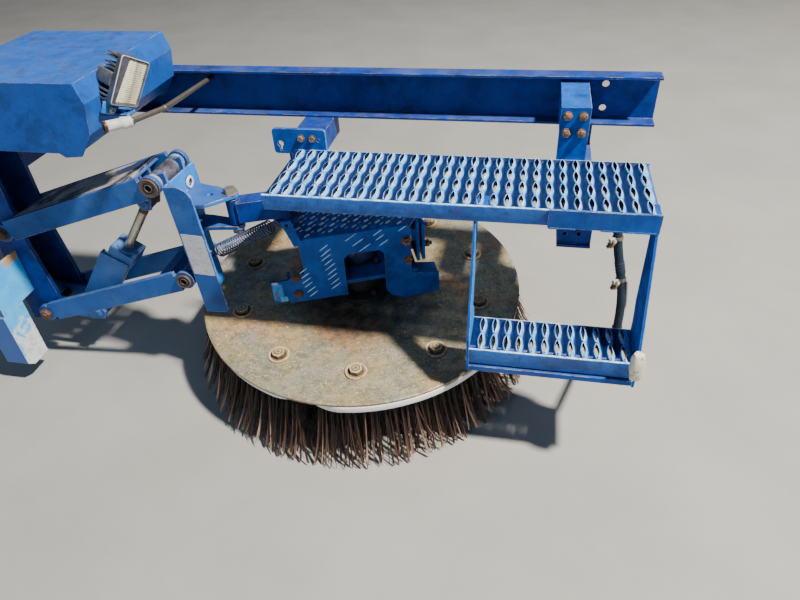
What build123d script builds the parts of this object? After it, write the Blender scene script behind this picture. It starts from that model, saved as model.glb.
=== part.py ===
from build123d import *
import math
import os

# Gutter broom unit with a two-tier boarding step, on its own mounting beam.
# Millimetres. +X forward along the vehicle, +Y inboard, +Z up.
# Sizes below are laid out from the top front left corner of the upper tread
# and moved at the end, so that the origin is the centre of the beam's bolt
# pattern, on the beam's back face.

# ---------------------------------------------------------------- mounting beam
BEAM_X0, BEAM_X1 = -930.0, 880.0
BEAM_Z0, BEAM_Z1 = 15.0, 135.0
BEAM_Y0, BEAM_Y1 = 400.0, 446.0
BEAM_T = 6.0
BOLT_DX, BOLT_DZ = 1560.0, 60.0
BOLT_R = 8.75
ORIGIN = Vector((BEAM_X0 + BEAM_X1) / 2, BEAM_Y1, (BEAM_Z0 + BEAM_Z1) / 2)

# ---------------------------------------------------------------- boarding step
STEP_L, STEP_W = 856.0, 241.0
TREAD_T = 8.0
PITCH_X, PITCH_Y = 29.07, 60.3
TREAD_LIP = 43.0
SHEET = 3.0
LOW_X0, LOW_X1 = 483.0, 850.0
LOW_Y0, LOW_Y1 = -95.0, 26.0
LOW_Z = -320.0
LOW_LIP = 48.0
HANGER_T = 6.0

# ---------------------------------------------------------------- parallel linkage
ARM_L = 525.0
ARM_SLOPE = 18.6            # degrees, falling to the rear
UR = (-320.0, -38.0)        # X, Z of the upper front pivot
LR = (-304.0, -318.0)       # X, Z of the lower front pivot
BAR_T, BAR_H = 12.0, 60.0
BAR_Y = (64.0, 214.0)       # near faces of the outer and the inner bar
BOSS_R = 27.0
PIN_R = 12.0
RUN = 0.05                  # radial running clearance of every pin
DX = -ARM_L * math.cos(math.radians(ARM_SLOPE))
DZ = -ARM_L * math.sin(math.radians(ARM_SLOPE))
UL = (UR[0] + DX, UR[1] + DZ)
LL = (LR[0] + DX, LR[1] + DZ)
LEAN = -math.degrees(math.atan2(LR[0] - UR[0], UR[1] - LR[1]))

# ---------------------------------------------------------------- lift cylinder
CYL_Y = 145.0
CYL_EYE = (-392.0, -118.0)  # rod eye, X and Z
CYL_BASE = (-668.0, -500.0)  # base eye, X and Z
ROD_R = 12.5
BARREL_R = 27.0

# ---------------------------------------------------------------- broom
DISC_C = (131.0, 268.0, -430.0)
DISC_R = 457.2
DISC_T = 8.0
TILT_X, TILT_Y = 4.4, 0.8
BOLT_CIRCLE = 350.0
N_BOLTS = 10
WASHER_R, WASHER_T = 29.0, 4.0
HEAD_ACROSS, HEAD_H = 31.0, 10.5
SHANK_R, CROWN_H = 8.5, 1.5
SEG_T = 30.0
TIP_R = 512.0
TIP_DROP = 197.5
ARM_DIR = 21.9              # degrees from +X, of the swing arm
ARM_REACH = 311.0           # swing pin to broom axis
SWING = (DISC_C[0] - ARM_REACH * math.cos(math.radians(ARM_DIR)),
         DISC_C[1] - ARM_REACH * math.sin(math.radians(ARM_DIR)))
SWING_PIN_R = 10.0


def ccw(pts):
    area = 0.0
    for (x0, y0), (x1, y1) in zip(pts, pts[1:] + pts[:1]):
        area += x0 * y1 - x1 * y0
    return list(pts) if area > 0 else list(reversed(pts))


def face(pts):
    return Polygon(*ccw(list(pts)), align=None)


def box(x0, x1, y0, y1, z0, z1):
    return Pos((x0 + x1) / 2, (y0 + y1) / 2, (z0 + z1) / 2) * Box(x1 - x0, y1 - y0, z1 - z0)


def plate_xz(sk, y0, y1):
    """Sketch in X and Z, thickened from y0 to y1."""
    return extrude(Plane((0, y1, 0), x_dir=(1, 0, 0), z_dir=(0, -1, 0)) * sk, amount=y1 - y0)


def plate_yz(sk, x0, x1):
    """Sketch in Y and Z, thickened from x0 to x1."""
    return extrude(Plane((x0, 0, 0), x_dir=(0, 1, 0), z_dir=(1, 0, 0)) * sk, amount=x1 - x0)


def plate_xy(sk, z0, z1):
    """Sketch in X and Y, thickened from z0 to z1."""
    return extrude(Plane((0, 0, z0), x_dir=(1, 0, 0), z_dir=(0, 0, 1)) * sk, amount=z1 - z0)


def rod(p, q, r, ri=0.0):
    """Round bar from p to q, hollow if ri is given."""
    p, q = Vector(*p), Vector(*q)
    pl = Plane(p, z_dir=(q - p))
    sk = Circle(r) - Circle(ri) if ri else Circle(r)
    return extrude(pl * sk, amount=(q - p).length)


def hexbar(p, q, across):
    p, q = Vector(*p), Vector(*q)
    return extrude(Plane(p, z_dir=(q - p)) * RegularPolygon(across / math.sqrt(3), 6), amount=(q - p).length)


NODES = {}

# ================================================================= fixed frame
# mounting beam: channel with its web against the chassis, flanges to the front
beam = box(BEAM_X0, BEAM_X1, BEAM_Y0, BEAM_Y1, BEAM_Z0, BEAM_Z1)
beam -= box(BEAM_X0 - 1, BEAM_X1 + 1, BEAM_Y0 - 1, BEAM_Y1 - BEAM_T, BEAM_Z0 + BEAM_T, BEAM_Z1 - BEAM_T)
for sx in (-1, 1):
    for sz in (-1, 1):
        x, z = ORIGIN.X + sx * BOLT_DX / 2, ORIGIN.Z + sz * BOLT_DZ / 2
        beam -= rod((x, BEAM_Y1 - BEAM_T - 1, z), (x, BEAM_Y1 + 1, z), BOLT_R)
NODES["mounting_beam"] = beam

# outrigger: folded sheet box, open below, with a cut front corner
OUT_Y0 = 0.0
OUT_T = 4.0
OUT_PROFILE = [(-760, 74), (-477, 74), (-464, 64), (-421, 68), (-379, 122), (-367, 191), (-380, 236), (-760, 236)]
OUT_INNER = [(-756, 60), (-475, 60), (-464, 60), (-424, 60), (-383, 123), (-371, 191), (-383, 232), (-756, 232)]
outrigger = plate_xz(face(OUT_PROFILE), OUT_Y0, BEAM_Y0)
outrigger -= plate_xz(face(OUT_INNER), OUT_Y0 + OUT_T, BEAM_Y0 - OUT_T)
outrigger += box(-700, -480, BEAM_Y0 - OUT_T, BEAM_Y1 - BEAM_T, 95, 125)
NODES["outrigger_box"] = outrigger

# work light, on the outrigger's front side face
LAMP_C = Vector(-298.1, 88.0, 208.9)
LAMP_N = Vector(0.89, -0.40, -0.21)
LAMP_X = Vector(0.279, 0.858, -0.432)
LAMP_W, LAMP_H, LAMP_D = 78.0, 112.0, 26.0
lamp_pl = Plane(LAMP_C, x_dir=LAMP_X, z_dir=LAMP_N)
case = extrude(lamp_pl * RectangleRounded(LAMP_W, LAMP_H, 7), amount=-LAMP_D)
case -= extrude(lamp_pl * RectangleRounded(LAMP_W - 8, LAMP_H - 8, 4), amount=-9)
fins = []
# cooling fins: height on the case's back, depth
for fy, depth in ((47, 34), (39, 34), (26, 34), (-32, 44), (-42, 44), (-52, 40)):
    fins.append(lamp_pl * Pos(0, fy, -LAMP_D - depth / 2) * Box(70, 4, depth))
case += fins
case += lamp_pl * Pos(0, -5, -LAMP_D - 22) * Box(70, 32, 44)
case += lamp_pl * Pos(0, -2, -LAMP_D - 3) * Box(68, 104, 6)
case -= plate_xz(face(OUT_PROFILE), OUT_Y0, BEAM_Y0)
NODES["work_light_housing"] = case
NODES["work_light_lens"] = extrude(lamp_pl.offset(-9) * RectangleRounded(LAMP_W - 8, LAMP_H - 8, 4), amount=7)
# bracket: strap under the lamp, a stud, and a tongue out of the outrigger's slanted side
strap_c = LAMP_C - lamp_pl.y_dir * (LAMP_H / 2 + 2.5) - lamp_pl.z_dir * 14
strap = lamp_pl * Pos(0, -LAMP_H / 2 - 2.5, -14) * Box(34, 5, 26)
strap += lamp_pl * Pos(-18, -LAMP_H / 2 - 13, -25) * Box(46, 26, 4)
strap += rod((strap_c.X, strap_c.Y, 141), (strap_c.X, strap_c.Y, strap_c.Z), 6)
strap += box(-390, -314, 62, 94, 141, 147) - plate_xz(face(OUT_PROFILE), OUT_Y0, BEAM_Y0)
NODES["work_light_bracket"] = strap

# water nozzle beside the lamp: white mouth piece on a steel pipe from the beam
NOZ = ((-333.5, -7.0, 144.9), (-293.0, 39.5, 141.0))
NOZ_BEND = (-274.0, 150.0, 129.0)
NODES["water_nozzle"] = rod(NOZ[0], NOZ[1], 12.5, 9.0)
noz_pipe = rod(NOZ[1], NOZ_BEND, 6.5) + rod(NOZ_BEND, (-290, BEAM_Y1 - BEAM_T, 105), 6.5)
noz_pipe += Pos(*NOZ[1]) * Sphere(9) + Pos(*NOZ_BEND) * Sphere(8)
noz_pipe -= box(-340, -200, BEAM_Y1 - BEAM_T, 480, 0, 200)
noz_pipe -= rod(NOZ[0], NOZ[1], 12.5)
NODES["nozzle_pipe"] = noz_pipe

# link hanger: two cheek plates, a back plate and a neck up to the beam
HAN_Y = ((86.0, 98.0), (192.0, 204.0))
HAN_X0 = UL[0] - 62
hanger_sk = face([(HAN_X0, 15), (UL[0] + 40, 15), (UL[0] + 40, UL[1] - 60), (LL[0] + 44, LL[1] + 70),
                  (LL[0] + 44, LL[1] - 20), (LL[0] + 10, LL[1] - 42), (HAN_X0, LL[1] - 42)])
hanger = plate_xz(hanger_sk, *HAN_Y[0]) + plate_xz(hanger_sk, *HAN_Y[1])
hanger += box(HAN_X0, HAN_X0 + 8, HAN_Y[0][1], HAN_Y[1][0], LL[1] - 42, 15)
hanger += box(HAN_X0, UL[0] + 40, HAN_Y[0][1], HAN_Y[1][0], 7, 15)
hanger += box(HAN_X0, HAN_X0 + 8, HAN_Y[1][1], BEAM_Y1, -120, 15)
hanger += box(HAN_X0, UL[0] + 40, HAN_Y[1][1], BEAM_Y1, 7, 15)
for px, pz in (UL, LL):
    hanger -= rod((px, HAN_Y[0][0] - 1, pz), (px, HAN_Y[1][1] + 1, pz), PIN_R)
NODES["link_hanger"] = hanger

# hanger pins: fixed in the cheeks, heads outside the bars
pins = []
for px, pz in (UL, LL):
    pins.append(rod((px, BAR_Y[0] - 4, pz), (px, BAR_Y[1] + BAR_T + 4, pz), PIN_R)
                + hexbar((px, BAR_Y[0] - 12, pz), (px, BAR_Y[0] - 1, pz), 30)
                + hexbar((px, BAR_Y[1] + BAR_T + 1, pz), (px, BAR_Y[1] + BAR_T + 13, pz), 30))
NODES["hanger_pins"] = pins[0] + pins[1]

# guard in front of the hanger: plate above, square leg below
GX = -836.0
guard = plate_yz(face([(-40, -276), (86, -276), (86, -414), (-37, -417)]), GX, GX + 6)
guard += box(GX - 60, GX, -46, -40, -417, -276) + box(GX - 60, GX + 6, -46, -38, -417, -276)
leg = box(GX - 66, GX + 6, -52, 30, -609, -417) - box(GX - 60, GX, -46, 24, -610, -423)
leg -= plate_yz(face([(-70, -575), (-70, -620), (-18, -620)]), GX - 80, GX + 20)
guard += leg
NODES["hanger_guard"] = guard

# cylinder bracket: two lugs that reach forward from the hanger to the base eye
lug_sk = face([(HAN_X0 + 8, CYL_BASE[1] - 5), (HAN_X0 + 8, CYL_BASE[1] + 60), (CYL_BASE[0] - 60, CYL_BASE[1] + 36),
               (CYL_BASE[0] + 10, CYL_BASE[1] + 28), (CYL_BASE[0] + 30, CYL_BASE[1]), (CYL_BASE[0] + 18, CYL_BASE[1] - 26),
               (CYL_BASE[0] - 20, CYL_BASE[1] - 28)])
LUG_Y = ((CYL_Y - 38, CYL_Y - 29), (CYL_Y + 29, CYL_Y + 38))
bracket = plate_xz(lug_sk, *LUG_Y[0]) + plate_xz(lug_sk, *LUG_Y[1])
base_pin = rod((CYL_BASE[0], LUG_Y[0][0] - 6, CYL_BASE[1]), (CYL_BASE[0], LUG_Y[1][1] + 6, CYL_BASE[1]), PIN_R)
bracket += base_pin
bracket += hexbar((CYL_BASE[0], LUG_Y[0][0] - 12, CYL_BASE[1]), (CYL_BASE[0], LUG_Y[0][0], CYL_BASE[1]), 30)
bracket += hexbar((CYL_BASE[0], LUG_Y[1][1], CYL_BASE[1]), (CYL_BASE[0], LUG_Y[1][1] + 12, CYL_BASE[1]), 30)
bracket -= rod((LL[0], CYL_Y - 60, LL[1]), (LL[0], CYL_Y + 60, LL[1]), PIN_R + 0.3)
NODES["cylinder_bracket"] = bracket

# ================================================================= boarding step


def diamond():
    return Polygon((0, -23), (8.5, -9), (8.5, 9), (0, 23), (-8.5, 9), (-8.5, -9), align=None)


def tread(x0, x1, y0, y1, zt, lip, first_x, cols, first_y, rows):
    top = box(x0, x1, y0, y1, zt - TREAD_T, zt)
    sk = Sketch() + [Pos(first_x + c * PITCH_X, first_y + r * PITCH_Y) * diamond()
                     for r in range(rows) for c in range(cols)]
    top -= plate_xy(sk, zt - TREAD_T - 1, zt + 1)
    top += box(x0, x1, y0, y0 + SHEET, zt - lip, zt)
    top += box(x0, x1, y1 - SHEET, y1, zt - lip, zt)
    return top


NODES["upper_tread"] = tread(0, STEP_L, 0, STEP_W, 0, TREAD_LIP, 21, 29, 30, 4)
NODES["tread_nosing"] = box(632, STEP_L, -4, 0, -46, -3)
NODES["lower_tread"] = tread(LOW_X0 + 0, LOW_X1, LOW_Y0, LOW_Y1, LOW_Z, LOW_LIP, LOW_X0 + 24, 12, LOW_Y0 + 30.3, 2)
NODES["lower_tread_bar"] = (box(LOW_X0, LOW_X1, LOW_Y0 - 5, LOW_Y0 + 20, LOW_Z - 67, LOW_Z - 53)
                            + box(LOW_X0, LOW_X1, LOW_Y0 + 12, LOW_Y0 + 17, LOW_Z - 53, LOW_Z - TREAD_T))
hang_sk = face([(3, -44), (52, -44), (44, -250), (30, -300), (30, -392), (-99, -392), (-99, -318), (-60, -210)])
hang_l = face([(3, -44), (52, -44), (30, -150), (-10, -262), (26, -300), (26, -392), (-95, -392), (-95, -300), (-60, -210)])
NODES["step_hanger_left"] = plate_yz(hang_l, LOW_X0 - HANGER_T, LOW_X0) + box(LOW_X0 - HANGER_T, LOW_X0 + 26, 3, 52, -44, -TREAD_T)
NODES["step_hanger_right"] = plate_yz(hang_sk, LOW_X1, LOW_X1 + HANGER_T) + box(LOW_X1 - 20, LOW_X1 + HANGER_T, 3, 52, -44, -TREAD_T)

# brackets that carry the upper tread's back edge
kb = Pos(14.5, 15) * RectangleRounded(139, 66, 9)
kb -= Pos(-36, 8) * Circle(8)
kb -= Pos(-36, -2) * Rectangle(7, 18)
kb -= Pos(65, 21) * Circle(5)
NODES["step_bracket_left"] = plate_xz(kb, STEP_W, STEP_W + 8)
NODES["step_arm_left"] = box(-20, 60, STEP_W + 8, BEAM_Y1 - 6, 9, 15) + box(-20, -14, STEP_W + 8, BEAM_Y1 - 6, -40, 9) + box(54, 60, STEP_W + 8, BEAM_Y1 - 6, -40, 9)
NODES["step_bracket_right"] = (box(646, 712, STEP_W, STEP_W + 8, -43, 120) + box(646, 712, STEP_W + 8, BEAM_Y1 - BEAM_T, 112, 120)
                               + box(646, 652, STEP_W + 8, BEAM_Y1 - BEAM_T, 60, 112)
                               + box(706, 712, STEP_W + 8, BEAM_Y1 - BEAM_T, 60, 112))
arm_r = box(661, 736, 96, BEAM_Y1 - 6, -49, -43) + box(730, 736, 96, 330, -144, -49) + box(661, 730, 96, 102, -144, -49)
arm_r += box(661, 736, 88, 330, -150, -144)
arm_r += box(661, 736, 324, 330, -144, -49)
arm_r += box(661, 736, 434, BEAM_Y1 - 6, -43, 15)
for hx in (678, 708):
    arm_r -= rod((hx, 90, -118), (hx, 104, -118), 5)
NODES["step_arm_right"] = arm_r

bumper = Box(32, 24, 86)
bumper = fillet(bumper.edges(), 10)
NODES["corner_bumper"] = Pos(LOW_X1 - 2, -99 - 12, -320) * bumper

# water hose behind the right hanger: from the elbow under the tread to the spray tip, which a strap holds
HOSE_R = 11.2
HOSE_PTS = [(806, 212, -60), (806, 212, -112), (809, 210, -166), (818, 206, -224), (833, 200, -284), (845, 192, -342), (849.5, 187, -398), (850, 184, -450)]


def tube_path(pts, r):
    radii = []
    for a, b, c in zip(pts, pts[1:], pts[2:]):
        v0, v1 = Vector(*b) - Vector(*a), Vector(*c) - Vector(*b)
        turn = math.radians(v0.get_angle(v1))
        radii.append(0.45 * min(v0.length, v1.length) / math.tan(turn / 2))
    print("bend radii", [round(x) for x in radii])
    path = FilletPolyline(*pts, radius=radii)
    prof = Plane(Vector(*pts[0]), z_dir=Vector(*pts[1]) - Vector(*pts[0])) * Circle(r)
    return sweep(prof, path=path)


hose = tube_path(HOSE_PTS, HOSE_R)
NODES["spray_hose"] = hose
elbow = box(790, 822, 197, 227, -60, -43)
last = Vector(*HOSE_PTS[-1])
run = (last - Vector(*HOSE_PTS[-2])).normalized()
elbow_low = rod(tuple(last), tuple(last + run * 26), 13.5) + rod(tuple(last + run * 26), tuple(last + run * 44), 8)
STRAP_X = LOW_X1 + HANGER_T
elbow_low += plate_yz(face([(18, -372), (18, -391), (165, -476), (198, -476), (198, -458), (176, -456), (40, -372)]), STRAP_X, STRAP_X + 4)
NODES["hose_fittings"] = elbow + elbow_low

# ================================================================= parallel linkage


def bar_face(p, q):
    """Flat bar with round ends between two pivots, with the pin holes."""
    mid = ((p[0] + q[0]) / 2, (p[1] + q[1]) / 2)
    ang = math.degrees(math.atan2(p[1] - q[1], p[0] - q[0]))
    length = math.hypot(p[0] - q[0], p[1] - q[1])
    sk = Pos(*mid) * Rot(0, 0, ang) * Rectangle(length - 50, BAR_H)
    sk += Pos(*mid) * Rot(0, 0, ang) * Rectangle(length, 40)
    for c in (p, q):
        sk += Pos(*c) * Circle(BOSS_R)
    for c in (p, q):
        sk -= Pos(*c) * Circle(PIN_R + RUN)
    return sk


def along(p, q, s, n):
    """Point s along the line from q to p, n above it."""
    ux, uz = (p[0] - q[0]) / ARM_L, (p[1] - q[1]) / ARM_L
    return (q[0] + ux * s - uz * n, q[1] + uz * s + ux * n)


def arm(p, q):
    body = plate_xz(bar_face(p, q), BAR_Y[0], BAR_Y[0] + BAR_T)
    body += plate_xz(bar_face(p, q), BAR_Y[1], BAR_Y[1] + BAR_T)
    return body


def cross(p, q, s0, s1, n0, n1, y0, y1):
    return plate_xz(face([along(p, q, s0, n0), along(p, q, s1, n0), along(p, q, s1, n1), along(p, q, s0, n1)]), y0, y1)


Y_IN0, Y_IN1 = BAR_Y[0] + BAR_T, BAR_Y[1]
upper = arm(UR, UL)
upper += cross(UR, UL, 90, 130, -24, -18, Y_IN0, Y_IN1)
# lugs that carry the rod eye
eye = CYL_EYE
for y0 in (CYL_Y - 26, CYL_Y + 18):
    upper += plate_xz(face([along(UR, UL, 400, 24), along(UR, UL, 470, 24), (eye[0] + 22, eye[1] + 6), (eye[0] + 14, eye[1] - 20),
                            (eye[0] - 14, eye[1] - 20), (eye[0] - 24, eye[1] + 6)]), y0, y0 + 8)
upper += cross(UR, UL, 395, 470, 18, 24, Y_IN0, Y_IN1)
upper += rod((eye[0], CYL_Y - 32, eye[1]), (eye[0], CYL_Y + 32, eye[1]), 11)
NODES["upper_arm"] = upper
NODES["arm_cover_plate"] = cross(UR, UL, 60, 465, 24, 30, Y_IN0, Y_IN1)

lower = arm(LR, LL)
lower += cross(LR, LL, 430, 465, -20, 20, Y_IN0, Y_IN1)
NODES["lower_arm"] = lower

# ================================================================= coupler
# plate bent to an L: web across the arms' ends, flange to the front; leans with the pivots
lean = Location((UR[0], 0, UR[1]), (0, LEAN, 0))
WEB_X = 33.0
flange = Pos(WEB_X + 35, -193) * Rectangle(70, 386)
corner = Pos(WEB_X + 70, 0) * Rectangle(80, 80)
flange_sk = face([(WEB_X, 0), (WEB_X + 68, 0), (WEB_X + 68, -386), (WEB_X, -386)])
c1 = [v for v in flange_sk.vertices() if v.X > WEB_X + 60 and v.Y > -10]
flange_sk = fillet(c1, 40)
c2 = [v for v in flange_sk.vertices() if v.X > WEB_X + 60 and v.Y < -300]
flange_sk = fillet(c2, 10)
coup = lean * plate_xz(flange_sk, BAR_Y[0], BAR_Y[0] + 6)
coup += lean * plate_yz(face([(70, 0), (222, -6), (224, -74), (190, -180), (190, -360), (70, -380)]), WEB_X, WEB_X + 6)
for px, pz in (UR, LR):
    coup += rod((px, BAR_Y[0] + BAR_T + 3, pz), (px, BAR_Y[1] - 3, pz), 21)
for dz in (0, -(math.hypot(LR[0] - UR[0], UR[1] - LR[1]))):
    for y0 in (90, 178):
        coup += lean * plate_xz(face([(0, dz - 20), (0, dz + 20), (WEB_X + 1, dz + 26), (WEB_X + 1, dz - 26)]), y0, y0 + 8)
for px, pz in (UR, LR):
    coup -= rod((px, BAR_Y[0], pz), (px, BAR_Y[1] + BAR_T, pz), PIN_R)
# swing ears
EAR_Z = ((-101.0, -91.0), (-190.0, -180.0))
sx, sy = SWING
ear_top = face([(-283, 72), (-283, 205), (-240, 190), (-175, 176), (-150, 172), (-139, 160), (-139, 144), (-150, 134), (-200, 84)])
ear_low = face([(-279, 112), (-279, 188), (-240, 186), (-175, 176), (-150, 172), (-139, 160), (-139, 144), (-150, 134), (-200, 128)])
coup += plate_xy(ear_top, *EAR_Z[0]) + plate_xy(ear_low, *EAR_Z[1])
for z0, z1 in EAR_Z:
    coup -= rod((sx, sy, z0 - 1), (sx, sy, z1 + 1), SWING_PIN_R)
coup -= rod((-206, 138, -110), (-206, 138, -80), 7)
# lug for the spring's hook, on the web
coup += plate_xz(face([(-274, -228), (-226, -238), (-210, -244), (-210, -256), (-230, -262), (-273, -268)]), 95, 101)
coup -= rod((-219, 90, -247), (-219, 106, -247), 5)
NODES["coupler"] = coup

cpins = []
for px, pz in (UR, LR):
    cpins.append(rod((px, BAR_Y[0] - 5, pz), (px, BAR_Y[1] + BAR_T + 5, pz), PIN_R)
                 + rod((px, BAR_Y[0] - 9, pz), (px, BAR_Y[0] - 1, pz), 19)
                 + rod((px, BAR_Y[1] + BAR_T + 1, pz), (px, BAR_Y[1] + BAR_T + 9, pz), 19))
NODES["coupler_pins"] = cpins[0] + cpins[1]
NODES["swing_pin"] = (rod((sx, sy, EAR_Z[1][0] - 18), (sx, sy, EAR_Z[0][1] + 5), SWING_PIN_R)
                      + hexbar((sx, sy, EAR_Z[0][1]), (sx, sy, EAR_Z[0][1] + 13), 30)
                      + hexbar((sx, sy, EAR_Z[1][0] - 16), (sx, sy, EAR_Z[1][0]), 30))

# return spring: closed outer shape of the coil
SPR_A = (-203.3, 98.0, -237.4)
SPR_B = (-30.0, 87.2, -142.2)
NODES["return_spring"] = rod(SPR_A, SPR_B, 20.0, 13.0)

# ================================================================= swing arm and motor mount
ax = Location((DISC_C[0], DISC_C[1], 0), (0, 0, ARM_DIR))


def uv(pts, z0, z1):
    return ax * plate_xy(face(pts), z0, z1)


def u_box(u0, u1, v0, v1, z0, z1):
    return ax * box(u0, u1, v0, v1, z0, z1)


U_PIN = -ARM_REACH
sw = rod((sx, sy, -176), (sx, sy, -105), 18)
sw += u_box(U_PIN + 8, -170, -24, 24, -170, -112)
sw -= u_box(U_PIN + 30, -176, -18, 18, -164, -118)
sw += uv([(-176, -24), (-176, 24), (-150, 60), (-150, -60)], -184, -176) + u_box(-186, -170, -24, 24, -184, -164)
sw -= rod((sx, sy, -180), (sx, sy, -100), SWING_PIN_R + RUN)
NODES["swing_arm"] = sw

# mount: chequer plate cover bent down at the front, with the motor notch
M_V = 120.0
COVER_Z = (-190.0, -184.0)
front_sk = Sketch() + face([(-162, -184), (130, -184), (130, -338), (205, -350), (205, -412), (110, -420), (72, -404), (57, -384),
                            (57, -262), (45, -250), (-38, -250), (-50, -262), (-50, -378), (-206, -378), (-200, -301), (-158, -290)])
cover_pts = [(-162, -M_V), (130, -M_V), (150, -90), (150, M_V), (-235, M_V), (-248, 78)]
mount = ax * plate_xz(front_sk, -M_V, -M_V + 6)
mount += uv(cover_pts, *COVER_Z)
mount += ax * plate_xz(face([(-200, -184), (150, -184), (150, -340), (-150, -340), (-200, -260)]), M_V - 6, M_V)
tilt = Location(DISC_C, (TILT_X, TILT_Y, 0))
MP_H = (92.0, 104.0)
mount += tilt * Rot(0, 0, ARM_DIR) * box(-148, 148, -M_V + 13, M_V + 4, *MP_H)
mount += ax * plate_xz(face([(92, -341), (205, -358), (205, -352), (92, -335)]), -M_V, -64)
mount += u_box(199, 205, -M_V, -72, -412, -352) + u_box(168, 173, -M_V, -76, -410, -350)
mount -= tilt * Pos(0, 0, 98) * Cylinder(53, 30)
# lug for the spring's hook, on the cover's near corner
mount += ax * plate_xz(face([(-196, -124), (-170, -124), (-150, -200), (-172, -200)]), -M_V - 6, -M_V)
mount += ax * plate_xz(face([(-172, -200), (-150, -200), (-150, -184), (-172, -184)]), -M_V - 6, -M_V + 2)
mount -= rod((ax * Pos(-181, -M_V - 8, -136)).position, (ax * Pos(-181, -M_V + 4, -136)).position, 5)
mount += u_box(-248, -200, -M_V, -M_V + 6, -372, -304)
mount += u_box(-204, -198, -M_V, -M_V + 40, -372, -304)
NODES["motor_mount"] = mount

# tilt bracket: two plates with bolts on the mount's front side
tb = u_box(150, 158, -96, -20, -318, -196) + u_box(166, 174, -92, -26, -318, -206)
for vz in ((-58, -226), (-58, -290)):
    tb += rod((ax * Pos(150, vz[0], vz[1])).position, (ax * Pos(184, vz[0], vz[1])).position, 9)
NODES["tilt_bracket"] = tb

# ================================================================= motor and rotor, about the tilted axis
AXIS = (tilt * Pos(0, 0, 1)).position - Vector(*DISC_C)
print("spin axis", tuple(round(a, 5) for a in AXIS))


def turned(profile):
    """Solid of revolution about the broom axis, from radius and height above the disc's top."""
    sk = face(profile)
    return tilt * revolve(Plane.XZ * sk, axis=Axis.Z)


motor = turned([(0, 62), (48, 62), (48, 78), (72, 80), (72, 92), (52, 92), (52, 196), (44, 206), (0, 206)])
NODES["broom_motor"] = motor
NODES["motor_ports"] = (tilt * Pos(0, -62, 160) * Rot(90, 0, 0) * Cylinder(11, 20)
                        + tilt * Pos(0, 62, 160) * Rot(90, 0, 0) * Cylinder(11, 20))

hub = turned([(0, 0), (95, 0), (95, 12), (58, 14), (52, 46), (38, 58), (0, 58)])
NODES["motor_hub"] = hub

disc = turned([(0, -DISC_T), (DISC_R, -DISC_T), (DISC_R, 0), (0, 0)])
seats = [tilt * Rot(0, 0, -43 + 36 * k) * Pos(BOLT_CIRCLE, 0, 0) for k in range(N_BOLTS)]
holes = [at * Pos(0, 0, -DISC_T / 2) * Cylinder(9, DISC_T + 4) for at in seats]
disc -= holes
NODES["broom_disc"] = disc
# each bolt: shank in its hole, broad washer on the disc, low hexagon head with a raised crown
bolts = []
for at in seats:
    bolts.append(at * Pos(0, 0, -DISC_T / 2) * Cylinder(SHANK_R, DISC_T)
                 + at * Pos(0, 0, WASHER_T / 2) * Cylinder(WASHER_R, WASHER_T)
                 + at * Pos(0, 0, WASHER_T) * extrude(RegularPolygon(HEAD_ACROSS / 2, 6, major_radius=False), amount=HEAD_H)
                 + at * Pos(0, 0, WASHER_T + HEAD_H + CROWN_H / 2) * Cylinder(SHANK_R, CROWN_H))
NODES["disc_bolts"] = Part() + bolts

# worn plastic segments, one outer radius each, the first one proud of the disc
SEG_R = (461.0, 454.0, 451.0, 455.0, 450.0)
N_SEG, SEG_GAP = len(SEG_R), 9.0
SEG_START = -95.0
segs = []
for k, seg_r in enumerate(SEG_R):
    a0 = SEG_START + 360 / N_SEG * k + SEG_GAP / 2
    sector = revolve(Plane.XZ * face([(300, -DISC_T - SEG_T), (seg_r, -DISC_T - SEG_T), (seg_r, -DISC_T), (300, -DISC_T)]),
                     axis=Axis.Z, revolution_arc=360 / N_SEG - SEG_GAP)
    segs.append(tilt * Rot(0, 0, a0) * sector)
NODES["broom_segments"] = Part() + segs

BR_Z = -DISC_T - SEG_T
NODES["bristles"] = turned([(320, BR_Z), (448, BR_Z), (TIP_R, -TIP_DROP), (340, -TIP_DROP + 6)])

# ================================================================= lift cylinder
ex, ez = CYL_EYE
bx, bz = CYL_BASE
cl = math.hypot(ex - bx, ez - bz)
cu = ((ex - bx) / cl, (ez - bz) / cl)


def on_cyl(s):
    return (bx + cu[0] * s, CYL_Y, bz + cu[1] * s)


BARREL_L = cl * 0.60
barrel = rod(on_cyl(26), on_cyl(BARREL_L - 34), BARREL_R, 20)
barrel += rod(on_cyl(24), on_cyl(44), BARREL_R)
barrel += rod(on_cyl(BARREL_L - 34), on_cyl(BARREL_L), BARREL_R + 4, ROD_R + RUN)
barrel += rod((bx, CYL_Y - 26, bz), (bx, CYL_Y + 26, bz), 26)


def cyl_plate(pts, y0, y1):
    """Plate in X and Z from points given as length along the cylinder and distance above its axis."""
    return plate_xz(face([(bx + cu[0] * s - cu[1] * n, bz + cu[1] * s + cu[0] * n) for s, n in pts]), y0, y1)


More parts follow.
